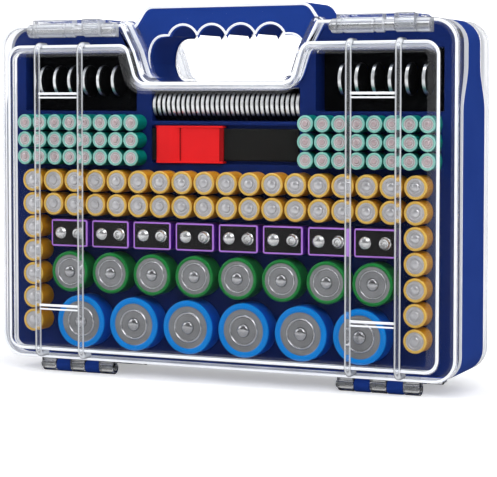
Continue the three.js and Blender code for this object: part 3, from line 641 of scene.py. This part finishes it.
def round_cell(shape, x, z, face, radius, length, tip_radius, tip, lip, ring, finishes, sides):
    """A cell with its terminal to the front at y = face. tip is how far the terminal stands out, lip
    the width of the folded sleeve and ring the radius of the raised bead."""
    lip_finish, side_finish, cover, bright = finishes
    inner = radius - lip
    fold = min(0.07 * radius, 0.9)
    base, bead = tip + 0.45, 0.05 * radius
    profile = [
        (0.0, 0.0), (0.5 * tip_radius, 0.05 * tip), (0.76 * tip_radius, 0.2 * tip),
        (0.93 * tip_radius, 0.5 * tip), (tip_radius, 0.95 * tip), (1.03 * tip_radius, base - 0.1),
        (1.2 * tip_radius, base), (ring - bead, base), (ring - 0.68 * bead, base - 0.5 * bead),
        (ring - 0.25 * bead, base - 0.8 * bead), (ring + 0.25 * bead, base - 0.8 * bead),
        (ring + 0.68 * bead, base - 0.5 * bead), (ring + bead, base),
        (inner - 0.04 * radius, base), (inner, base - 0.15),
        (inner + 0.03 * radius, tip - 0.12), (inner + 0.08 * radius, tip - 0.26),
        (radius - fold, tip - 0.2), (radius - 0.3 * fold, tip + 0.1), (radius, tip + fold),
        (radius, length - fold), (radius - fold, length)]
    materials = [bright] * 5 + [cover] * 2 + [bright] * 5 + [cover] * 2
    materials += [lip_finish] * 5 + [side_finish] * 2
    shape.turned(profile, materials, (x, face, z), "Y", sides)


for n in range(6):
    low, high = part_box(f"d_cell_{n + 1}")
    large = Shape()
    x, z = (low.x + high.x) / 2 / MM, (low.z + high.z) / 2 / MM
    round_cell(large, x, z, low.y / MM, radius=17.1, length=61.5, tip_radius=4.1, tip=1.6, lip=3.8,
               ring=9.0, finishes=(large_blue, large_blue_side, steel_cover, steel_glint), sides=64)
    large.piece(f"large_cell_{n + 1}", "case", "blue_label", f"d_cell_{n + 1}")
for n in range(8):
    low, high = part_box(f"c_cell_{n + 1}")
    middle = Shape()
    x, z = (low.x + high.x) / 2 / MM, (low.z + high.z) / 2 / MM
    round_cell(middle, x, z, low.y / MM, radius=13.1, length=50.0, tip_radius=3.8, tip=1.5, lip=2.2,
               ring=8.4, finishes=(middle_green_lip, middle_green, steel_cover, steel_glint), sides=56)
    middle.piece(f"middle_cell_{n + 1}", "case", "green_label", f"c_cell_{n + 1}")

PENLIGHT_PITCH_X, PENLIGHT_PITCH_Z, PENLIGHT_TOP = 15.36, 15.25, 126.1
penlights = Shape()
columns = [(i - 8.5) * PENLIGHT_PITCH_X for i in range(18)]
for row in range(7):
    for x in (columns if row < 2 else (columns[0], columns[-1])):
        round_cell(penlights, x, PENLIGHT_TOP - PENLIGHT_PITCH_Z * row, -BODY_FACE - 15.2,
                   radius=7.25, length=50.5, tip_radius=2.75, tip=1.0, lip=1.7, ring=4.2,
                   finishes=(small_gold, small_gold_side, steel_small, small_tip), sides=36)
penlights.piece("upright_penlight_cells", "case", "steel")

SLIM_PITCH, SLIM_FIRST, SLIM_TOP = 11.1, 59.6, 163.5
slims = Shape()
for row in range(3):
    for column in range(8):
        for side in (-1, 1):
            round_cell(slims, side * (SLIM_FIRST + SLIM_PITCH * column), SLIM_TOP - SLIM_PITCH * row,
                       -BODY_FACE - 13.6, radius=5.25, length=44.5, tip_radius=1.8, tip=0.8, lip=1.6,
                       ring=2.75, finishes=(slim_teal, slim_teal_side, steel_slim, slim_tip), sides=32)
slims.piece("upright_slim_cells", "case", "steel")


# Nine volt blocks: six small cells in one jacket. The jacket is violet film over a black crimped
# end plate with a light lilac edge, and the two snap terminals are pressed from bright steel.
# Each block stands loose in a rectangular socket of the tray.
steel_terminal = stamped_steel("pressed_terminal", (0.7, 0.7, 0.69), 0.26, 0.95)
violet_side = film_sleeve("violet_jacket", (0.085, 0.01, 0.3), (0.06, 0.006, 0.22))
lilac_edge = film_sleeve("lilac_edge", (0.5, 0.23, 0.78), (0.44, 0.18, 0.7))
black_end = moulded("black_end_plate", (0.012, 0.0115, 0.0115), (0.017, 0.016, 0.016), 0.45)
TERMINAL_RISE, TERMINAL_HALF_PITCH = 2.0, 6.35
for n in range(8):
    low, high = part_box(f"nine_volt_{n + 1}")
    x0, x1, z0, z1 = low.x / MM, high.x / MM, low.z / MM, high.z / MM
    face, rear = low.y / MM + TERMINAL_RISE, high.y / MM
    block_corners = rectangle_corners(x0, x1, z0, z1, 1.6)
    rows = [(1.15, face + 0.35), (1.05, face + 0.05), (0.75, face), (0.3, face + 0.05),
            (0.0, face + 0.4), (0.0, rear - 0.5), (0.5, rear)]
    block = Shape()
    block.loft([[(x, y, z) for x, z in outline(block_corners, inset, 5)] for inset, y in rows],
               [black_end, lilac_edge, lilac_edge, lilac_edge, violet_side, violet_side])
    for side, waist in ((-1, 3.5), (1, 3.6)):
        at = ((x0 + x1) / 2 + side * TERMINAL_HALF_PITCH, face - TERMINAL_RISE, (z0 + z1) / 2)
        middle = [(0.0, 0.0), (0.5 * waist, 0.1), (0.8 * waist, 0.4)]
        if side > 0:
            middle = [(0.0, 1.2), (0.4 * waist, 1.1), (0.55 * waist, 0.1), (0.8 * waist, 0.0)]
        stem = [(waist, 1.1), (0.94 * waist, 1.8), (1.1 * waist, 2.3), (1.1 * waist, 2.6)]
        block.turned(middle + stem, steel_terminal, at, "Y", 28)
    block.piece(f"block_cell_{n + 1}", "case", "black_label", f"nine_volt_{n + 1}")


# Foam blocks: two slabs of black open-cell foam lie in their pockets, with a slot for each coin
# cell. The coin cells are bright pressed steel with a rounded edge and a thin plastic seal,
# and stand on edge in the slots and side by side in the middle trough.
coin_steel = stamped_steel("coin_steel", (0.9, 0.905, 0.9), 0.3, slot_shade_depths=(0.0184, 0.0204))
foam_black = Finish("black_foam")
pores = foam_black.node("ShaderNodeTexVoronoi", {"feature": "F1"},
                        {"Vector": foam_black.place(), "Scale": 1500.0})
foam_tone = foam_black.noise(300.0, 3.0)
foam_black.out(foam_black.shade(
    Base_Color=foam_black.mix(foam_tone, (0.0012, 0.0014, 0.0018), (0.004, 0.0042, 0.005)),
    Roughness=0.95, Specular_IOR_Level=0.1,
    Normal=foam_black.bump(pores, 0.5, 0.0004)))
COIN_HALF, COIN_PITCH = 1.6, 3.4
coin_edge = [(0.0, 0.0), (8.0, 0.0), (8.6, 0.12), (9.5, 0.18), (9.9, 0.4), (10.0, 0.8), (10.0, 2.4),
             (9.85, 2.55), (9.6, 2.65), (9.2, 2.7), (9.0, 3.1), (8.7, 3.2), (0.0, 3.2)]
# Painted shadow: the flat faces and the far rim of every coin are near black, for the shade of the slit
# and of the next coin.
coin_painted_shadow = moulded("coin_shadow_steel", (0.004, 0.004, 0.0045), (0.006, 0.006, 0.0065), 0.7,
                    0.05, 0.03)
coin_finish = [coin_painted_shadow] * 2 + [coin_steel] * 4 + [rim_black] * 2 + [coin_painted_shadow] * 4
FOAM_FACE, FOAM_REAR, FOAM_LOW, FOAM_TOP = -8.85, -0.85, 171.2, 209.0
for side, word in ((-1, "left"), (1, "right")):
    x0, x1 = sorted((side * 62.0, side * 143.2))
    slots = []
    for n in range(6):
        low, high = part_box(f"coin_cell_{word}_{n + 1}")
        coin = Shape()
        centre = (low + high) / 2 / MM
        coin.turned(coin_edge, coin_finish, (centre.x - COIN_HALF, centre.y, centre.z), "X", 48)
        coin.piece(f"coin_{word}_{n + 1}", "case", "steel", f"coin_cell_{word}_{n + 1}")
        slots.append(rectangle(centre.x - 1.9, centre.x + 1.9, centre.z - 8.6, centre.z + 8.6, 1.7))
    foam = Shape()
    foam.plate([rectangle(x0, x1, FOAM_LOW, FOAM_TOP, 0.8)] + slots, FOAM_FACE, FOAM_REAR, 0.45,
               foam_black.material, 2)
    foam_piece = foam.piece(f"foam_{word}", "case", "black_foam", f"foam_block_{word}")



def row_of_coins(shape, count, centre_x, y, z):
    for n in range(count):
        x = centre_x + (n - (count - 1) / 2) * COIN_PITCH - COIN_HALF
        shape.turned(coin_edge, coin_finish, (x, y, z), "X", 40)


coin_row = Shape()
row_of_coins(coin_row, 30, 0.0, -11.65, 175.0)
coin_row.piece("middle_coin_row", "case", "steel")


# The battery tester: a black box that clips into the tray, with a red channel that slides along
# its front. The channel is bent from one strip of plastic, with a soft hollow near its left end.
# A raised rail runs along the upper and the lower edge of the box under the channel's lips.
tester_black = moulded("tester_black", (0.013, 0.013, 0.012), (0.01, 0.01, 0.0095), 0.5)
tester_red = moulded("tester_red", (0.8, 0.016, 0.019), (0.73, 0.014, 0.017), 0.4, 0.06)
# A darker copy of the red lies on the crease of the hollow and on the right edge of the channel:
# painted shade.
tester_red_painted_shade = moulded("tester_red_painted_shade", (0.3, 0.004, 0.006), (0.26, 0.004, 0.005), 0.45, 0.06)
tester = Shape()
TESTER_HALF, TESTER_REAR, TESTER_LOW, TESTER_TOP = 50.7, -8.75, 138.1, 161.7
tester.box((-TESTER_HALF, -22.75, 139.8), (TESTER_HALF, TESTER_REAR, 160.0), 0.8, tester_black)
for z in (TESTER_LOW, TESTER_TOP - 1.7):
    tester.box((-TESTER_HALF, -14.2, z), (TESTER_HALF, TESTER_REAR, z + 1.7), 0.3, tester_black)
tester.piece("tester_box", "case", "black_plastic", "tester_body")
slider = Shape()
left, right = -46.5, 0.2
rows = [(left, -24.0), (left + 0.4, -25.2), (left + 1.4, -26.0), (left + 3.0, -26.1),
        (left + 9.0, -26.1), (left + 11.5, -25.95), (left + 13.4, -25.45), (left + 14.9, -24.7),
        (left + 16.1, -23.8), (left + 16.8, -23.25), (left + 17.4, -23.3), (left + 17.8, -24.3),
        (left + 18.6, -24.5), (right - 2.6, -24.5), (right - 2.3, -24.2), (right, -23.8)]
slider.loft([[(x, y, TESTER_LOW), (x, y, TESTER_TOP), (x, -23.1, TESTER_TOP), (x, -23.1, TESTER_LOW)]
             for x, y in rows],
            [tester_red] * 8 + [tester_red_painted_shade] + [tester_red] * 4 + [tester_red_painted_shade] * 2)
for z in (TESTER_LOW, TESTER_TOP - 1.3):
    slider.box((left, -25.2, z), (right, -14.55, z + 1.3), 0.3, tester_red)
slider.piece("tester_channel", "tester_slider", "red_plastic", "tester_slider")


# The rear tray: a blue moulding that holds cells lying on their sides, half sunk in its face, with
# a raised shelf below for the slim cells. Coin cells stand edgewise at the top. The cells differ
# in length, so each kind has its own rows and colours.
pink_film = film_sleeve("pink_sleeve", (0.72, 0.2, 0.5), (0.6, 0.14, 0.42))
lavender_film = film_sleeve("lavender_sleeve", (0.12, 0.2, 0.62), (0.09, 0.15, 0.52))
orange_film = film_sleeve("orange_sleeve", (0.72, 0.25, 0.1), (0.62, 0.2, 0.07))
green_film = film_sleeve("leaf_sleeve", (0.05, 0.3, 0.14), (0.035, 0.24, 0.1))


def lying_cell(shape, x, z, axis_y, radius, length, tip_radius, film, sides=28):
    """A cell on its side, its terminal to the right seen from the rear."""
    half = length / 2
    profile = [(0.0, -half), (tip_radius * 0.9, -half), (tip_radius, -half + 0.3),
               (tip_radius * 1.03, -half + 1.0), (0.72 * radius, -half + 1.1),
               (0.76 * radius, -half + 0.9), (0.93 * radius, -half + 0.8), (radius, -half + 1.4),
               (radius, half - 0.9), (0.92 * radius, half - 0.2), (0.8 * radius, half - 0.1),
               (0.76 * radius, half - 0.3), (0.0, half - 0.3)]
    materials = [steel_bright] * 5 + [film] * 5 + [steel_cover] * 2
    shape.turned(profile, materials, (x, axis_y, z), "X", sides)


SHELF_FACE = 32.4
rear_tray = Shape()
rear_outline = [(-x, z) for x, z in reversed(tray_outline)]
rear_tray.plate([rear_outline], BODY_FACE - 4.0, BODY_FACE, 0.5, shaded_tray_blue, 2)
rear_tray.box((-142.6, BODY_FACE - 3.0, 19.0), (142.6, SHELF_FACE, 64.0), 1.2, shaded_tray_blue)
for side, low_z, high_z in ((152.0, 190.0, 214.5), (149.4, 214.0, 219.5), (146.0, 219.0, 223.0)):
    rear_tray.box((-side, 1.4, low_z), (-60.0, BODY_FACE - 3.0, high_z), 0.5, shaded_tray_blue)
    rear_tray.box((60.0, 1.4, low_z), (side, BODY_FACE - 3.0, high_z), 0.5, shaded_tray_blue)
rear_tray.piece("rear_tray_moulding", "case", "blue_plastic", "rear_tray")

lying = Shape()
for row in range(3):
    z = 177.5 - 19.8 * row
    film = lavender_film if row < 2 else slim_teal_side
    for x in (-107.0, 107.0):
        lying_cell(lying, x, z, BODY_FACE, 9.25, 69.0, 3.2, pink_film, 36)
    for column in range(4):
        lying_cell(lying, (column - 1.5) * 34.9, z, BODY_FACE, 8.5, 34.5, 3.0, film, 36)
for column in range(9):
    lying_cell(lying, (column - 4) * 31.3, 119.4, BODY_FACE, 6.0, 30.2, 2.2, orange_film)
for row in range(3):
    z = 103.6 - 15.5 * row
    for x in (-117.5, 117.5):
        lying_cell(lying, x, z, BODY_FACE, 7.25, 50.5, 2.7, small_gold)
    for column in range(3 if row < 2 else 0):
        lying_cell(lying, (column - 1) * 57.0, z, BODY_FACE, 7.25, 50.5, 2.7, small_gold)
for column in range(4):
    lying_cell(lying, (column - 1.5) * 39.0, 72.4, BODY_FACE, 5.15, 28.5, 1.9, pink_film)
for row in range(4):
    film = green_film if row < 2 else large_blue_side
    for column in range(6):
        lying_cell(lying, (column - 2.5) * 47.3, 58.0 - 11.0 * row, SHELF_FACE, 5.25, 44.5, 1.8, film)
for side in (-1, 1):
    row_of_coins(lying, 21, side * 104.0, BODY_FACE - 8.7, 199.6)
lying.piece("lying_cells", "case", "steel")


# The covers: each is one clear polystyrene moulding, a rim with a raised window over the cells,
# four round bars with crossbars, the clear half of the handle, three knuckles for each hinge and
# the lugs of both latches. The rear cover is the same part turned half round.
def clear_plastic(name, bend, rough=0.02, milk=0.0, painted_top_sheen=0.0, ring=0.0, painted_dark_outline=0.0,
                  painted_glow=0.0):
    """Clear moulded plastic. Lamps shine through it, so what lies behind stays bright.
    milk is the share of light that it scatters. painted_top_sheen adds white haze on faces that look
    up, a painted sheen for the light from above, and ring adds white haze on faces that turn half
    away, a painted highlight. painted_dark_outline paints the outline of thick round plastic dark, a
    painted shade. painted_glow makes the haze give off light of its own, though it is no lamp."""
    made = Finish(name)
    ripple = made.noise(45.0, 2.0)
    normal = made.bump(ripple, 0.04, 0.0004)
    shade = made.shade(
        Base_Color=(0.985, 0.99, 1.0), Roughness=made.noise(30.0).between(0.2, 0.8) * 0.02 + rough,
        IOR=bend, Transmission_Weight=1.0, Normal=normal)
    if ring or painted_dark_outline:
        away = made.node("ShaderNodeLayerWeight", {}, {"Blend": 0.5}, "Facing")
    share = milk
    if painted_top_sheen:
        steep = made.part_of(made.node("ShaderNodeNewGeometry", output="True Normal"), "Z")
        share = steep.between(0.2, 0.95) * painted_top_sheen + share
    if ring:
        share = away.between(0.06, 0.28) * ring + share
    if share:
        haze_and_sheen = made.shade(
            Base_Color=made.mix(ripple, (0.8, 0.82, 0.86), (0.9, 0.91, 0.93)), Roughness=0.35,
            Normal=normal, Emission_Color=(0.97, 0.98, 1.0), Emission_Strength=painted_glow)
        shade = made.blend(share, shade, haze_and_sheen)
    if painted_dark_outline:
        dark = made.shade(
            Base_Color=made.mix(ripple, (0.03, 0.035, 0.05), (0.05, 0.055, 0.07)), Roughness=0.4,
            Normal=normal)
        shade = made.blend(away.between(0.45, 0.8) * painted_dark_outline, shade, dark)
    clear = made.node("ShaderNodeBsdfTransparent", {}, {"Color": (0.94, 0.95, 0.96, 1.0)})
    made.out(made.blend(made.light_path("Is Shadow Ray"), shade, clear))
    return made.material


# Painted light in these finishes: the white top sheen of the walls, rounded edges and latches, the
# white haze where edges turn away, the painted dark outlines, and the glow of the edge lines and the
# thick lip.
clear_cover = clear_plastic("clear_polystyrene", 1.46, painted_dark_outline=0.5)
clear_bar = clear_plastic("clear_round_bar", 1.12, milk=0.04, ring=0.8, painted_dark_outline=0.95)
clear_window = clear_plastic("clear_window", 1.12, 0.0)
clear_wall = clear_plastic("clear_wall", 1.1, 0.0, painted_top_sheen=0.25)
clear_round = clear_plastic("clear_rounded_edge", 1.1, 0.0, 0.05, 0.5)
clear_latch = clear_plastic("clear_latch", 1.08, 0.0, painted_top_sheen=0.2, ring=0.4, painted_dark_outline=0.9)
clear_line = clear_plastic("clear_edge_line", 1.2, milk=0.55, ring=0.2, painted_dark_outline=0.85, painted_glow=0.4)
clear_lip = clear_plastic("clear_thick_lip", 1.4, 0.05, 0.6, painted_glow=0.25)
SEAM, RIM, WINDOW = -22.65, -34.5, -43.5  # from the body outwards
SHELL, COVER_SWING = 1.8, 9.6  # wall, and how far the seam edge swings back
window_corners = mirrored([
    corner(145.5, 15.2, 8), corner(145.5, 211.3, 8), corner(60, 211.3, 6), corner(56.5, 199.25, 12),
    corner(53, 187.2, 9)])
bead_corners = mirrored([
    corner(145.5, 17.0, 8), corner(145.5, 212.2, 8), corner(60.3, 212.2, 6), corner(56.5, 200.1, 12),
    corner(53, 188.1, 9)])


def rim_loop(inset, y):
    return [(x, y, z) for x, z in with_stations(outline(case_corners, inset))]


def window_loop(inset, y):
    return [(x, y, z) for x, z in with_stations(outline(window_corners, inset))]


cover = Shape()
outer = [stepped_loop(0.15, SEAM, COVER_SWING), stepped_loop(0.0, SEAM - 0.2, COVER_SWING),
         stepped_loop(0.0, SEAM - 1.6, COVER_SWING), stepped_loop(0.0, SEAM - 6.0, 6.6)]
outer += [rim_loop(inset, RIM + back) for inset, back in (
    (0.0, 3.6), (0.3, 2.1), (1.0, 0.9), (2.2, 0.2), (3.8, 0.0))]
outer += [window_loop(inset, RIM - out) for inset, out in ((-1.0, 0.0), (-0.35, 0.25), (0.0, 1.0))]
outer += [window_loop(inset, WINDOW + back) for inset, back in (
    (0.15, 5.4), (0.7, 3.2), (1.9, 1.4), (3.6, 0.4), (5.6, 0.0), (6.0, 0.0))]
cover.loft(outer, [clear_lip] * 3 + [clear_wall] + [clear_round] * 4 + [clear_wall] * 3
           + [clear_round] * 5 + [clear_window], caps=(False, True))
inner = [stepped_loop(SHELL - 0.15, SEAM, COVER_SWING), stepped_loop(SHELL, SEAM - 1.6, COVER_SWING)]
inner += [rim_loop(SHELL + inset, RIM + SHELL + back) for inset, back in (
    (0.0, 2.6), (0.3, 1.1), (2.4, 0.0))]
inner += [window_loop(inset, RIM + SHELL - out) for inset, out in (
    (0.9, 0.0), (1.5, 0.2), (SHELL, 0.9))]
inner += [window_loop(SHELL + inset, WINDOW + SHELL + back) for inset, back in (
    (0.1, 4.0), (0.8, 1.9), (2.2, 0.5), (4.2, 0.0))]
cover.loft(inner[::-1], clear_window, caps=(True, False))
for points, y, radius in ((outline(bead_corners, 0.0), WINDOW + 3.4, 1.0),
                          (outline(case_corners, 1.2), RIM + 1.3, 0.9)):
    cover.bead(points, y, radius, clear_line, 12)
cover.loft([inner[0], outer[0]], clear_lip, caps=(False, False))

HANDLE_FACE = -19.9
grip = grip_outline()
cover.plate([handle_outline, grip], -20.0, -17.8, 0.6, clear_window, 3)
cover.bead(outline(handle_corners, 1.05, 10), HANDLE_FACE, 1.0, clear_line, 12)
cover.bead(grip, HANDLE_FACE, 0.8, clear_line, 12)
for side in (-1, 1):
    near = [(x, z) for x, z in outline(case_corners, -0.1) if 45 < side * x < 68 and z > 188.5]
    far = [(x, z) for x, z in outline(case_corners, -2.4) if 42 < side * x < 66 and z > 190.5]
    cover.plate([near + far[::-1]], RIM, -18.5, 0.4, clear_wall, 2)

BAR_RADIUS, BAR_BEND, BAR_TOP, BAR_LOW = 2.0, 4.0, 212.9, 13.6
quarter = [math.radians(d) for d in range(0, 91, 15)]
for x in (-122.3, -91.0, 91.0, 122.3):
    path = [(x, RIM + 0.5, BAR_TOP), (x, RIM - 3.0, BAR_TOP)]
    path += [(x, RIM - 6.0 - BAR_BEND * math.sin(a), BAR_TOP - BAR_BEND + BAR_BEND * math.cos(a))
             for a in quarter]
    path += [(x, RIM - 6.0 - BAR_BEND, z) for z in (160.0, 110.0, 60.0)]
    path += [(x, RIM - 6.0 - BAR_BEND * math.cos(a), BAR_LOW + BAR_BEND - BAR_BEND * math.sin(a))
             for a in quarter]
    path += [(x, RIM - 3.0, BAR_LOW), (x, RIM + 0.5, BAR_LOW)]
    cover.rod(path, BAR_RADIUS, clear_bar, 20)
for x0, x1 in ((-120.9, -92.4), (92.4, 120.9)):
    for z in (180.9, 44.6):
        cover.box((x0, -45.2, z - 1.6), (x1, -43.3, z + 1.6), 0.4, clear_wall)
        for dz, thick in ((1.1, 0.85), (-1.4, 0.55)):
            cover.rod([(x0, -44.7, z + dz), (x1, -44.7, z + dz)], thick, clear_line, 12)
for hinge_x in HINGE_X:
    for n in (0, 2, 4):
        knuckle(cover, hinge_x, n, -26.7, SEAM, clear_cover)

LATCH_Y, LATCH_Z, LATCH_RADIUS = -39.3, 222.2, 4.4
for centre_x in LATCH_X:
    for left, right in ((centre_x - 31.0, centre_x - 27.5), (centre_x + 22.5, centre_x + 31.0)):
        barrel(cover, rounded_tube(LATCH_RADIUS, left, right), LATCH_Y, LATCH_Z, clear_latch)
        cover.box((left, LATCH_Y + 1.5, LATCH_Z - LATCH_RADIUS), (right, RIM + 0.9, LATCH_Z + 4.3), 0.5,
                  clear_latch)
cover.piece("front_cover_moulding", "front_cover", "clear_plastic", "front_cover")
cover.turned_half_round().piece("rear_cover_moulding", "rear_cover", "clear_plastic", "rear_cover")


# The pins of the hinges and latches are bright steel wire with an upset head at one end.
PIN_RADIUS = 1.5


def pin(name, x0, x1, y, z, body_name, node, half_turn):
    """A pin from x0 to x1, its head at x0."""
    shape = Shape()
    shape.turned([(0.0, 0.0), (1.9, 0.05), (2.45, 0.45), (2.6, 0.9), (2.45, 1.3), (PIN_RADIUS, 1.4),
                  (PIN_RADIUS, x1 - x0 - 0.4), (1.2, x1 - x0)], steel_bright, (x0, y, z), "X", 24)
    if half_turn:
        shape = shape.turned_half_round()
    shape.piece(name, body_name, "steel", node)


def latch_shape(centre_x):
    """A ringed barrel, a thin plate that snaps over the body's rib, and a ridged thumb grip."""
    left, right = latch_ends(centre_x)
    grip_left = right - 12.2
    knob = grip_left - 8.0
    full, waist, top = LATCH_RADIUS, 3.7, 229.1
    latch = Shape()
    barrel(latch, [
        (BORE, left), (4.0, left), (full, left + 0.4), (full, left + 2.6), (3.9, left + 3.0),
        (3.9, left + 4.0), (full, left + 4.4), (full, knob - 7.0), (waist, knob - 6.4),
        (waist, knob - 5.4), (full, knob - 4.8), (full, knob), (3.4, knob + 0.6),
        (3.4, grip_left - 0.6), (4.3, grip_left), (4.3, right - 0.4), (3.9, right), (BORE, right)],
        LATCH_Y, LATCH_Z, clear_latch, 32)
    latch.box((left, LATCH_Y - 0.5, 226.9), (right, -13.3, top), 0.7, clear_wall)
    for x0, x1 in ((left, knob), (grip_left, right)):
        latch.box((x0, LATCH_Y - 3.6, 223.5), (x1, RIM - 0.4, top), 0.8, clear_latch)
    ridges = []
    for z in [219.4 + 1.38 * k for k in range(7)]:
        ridges += [(-45.0, z), (-45.05, z + 0.75), (-44.4, z + 1.0)]
    path = [(-43.6, 219.0), *ridges, (-44.4, 229.2), (-43.4, 229.3), (-42.9, 229.0), (-42.6, 219.6)]
    latch.loft([[(x, y, z) for y, z in path] for x in (grip_left, right)], clear_latch)
    return latch


for face_word, half_turn in (("front", False), ("rear", True)):
    for side_word, hinge_x, centre_x in zip(("left", "right"), HINGE_X, LATCH_X):
        ends = f"{face_word}_{{}}_{side_word}"
        pin(ends.format("hinge_rod"), hinge_x - 28.2, hinge_x + 26.5, HINGE_Y, HINGE_Z, "case",
            ends.format("hinge_pin"), half_turn)
        pin(ends.format("latch_rod"), centre_x - 32.7, centre_x + 31.0, LATCH_Y, LATCH_Z,
            f"{face_word}_cover", ends.format("latch_pin"), half_turn)
        latch = latch_shape(centre_x)
        if half_turn:
            latch = latch.turned_half_round()
        latch.piece(ends.format("latch_moulding"), ends.format("latch"), "clear_plastic",
                    ends.format("latch"))
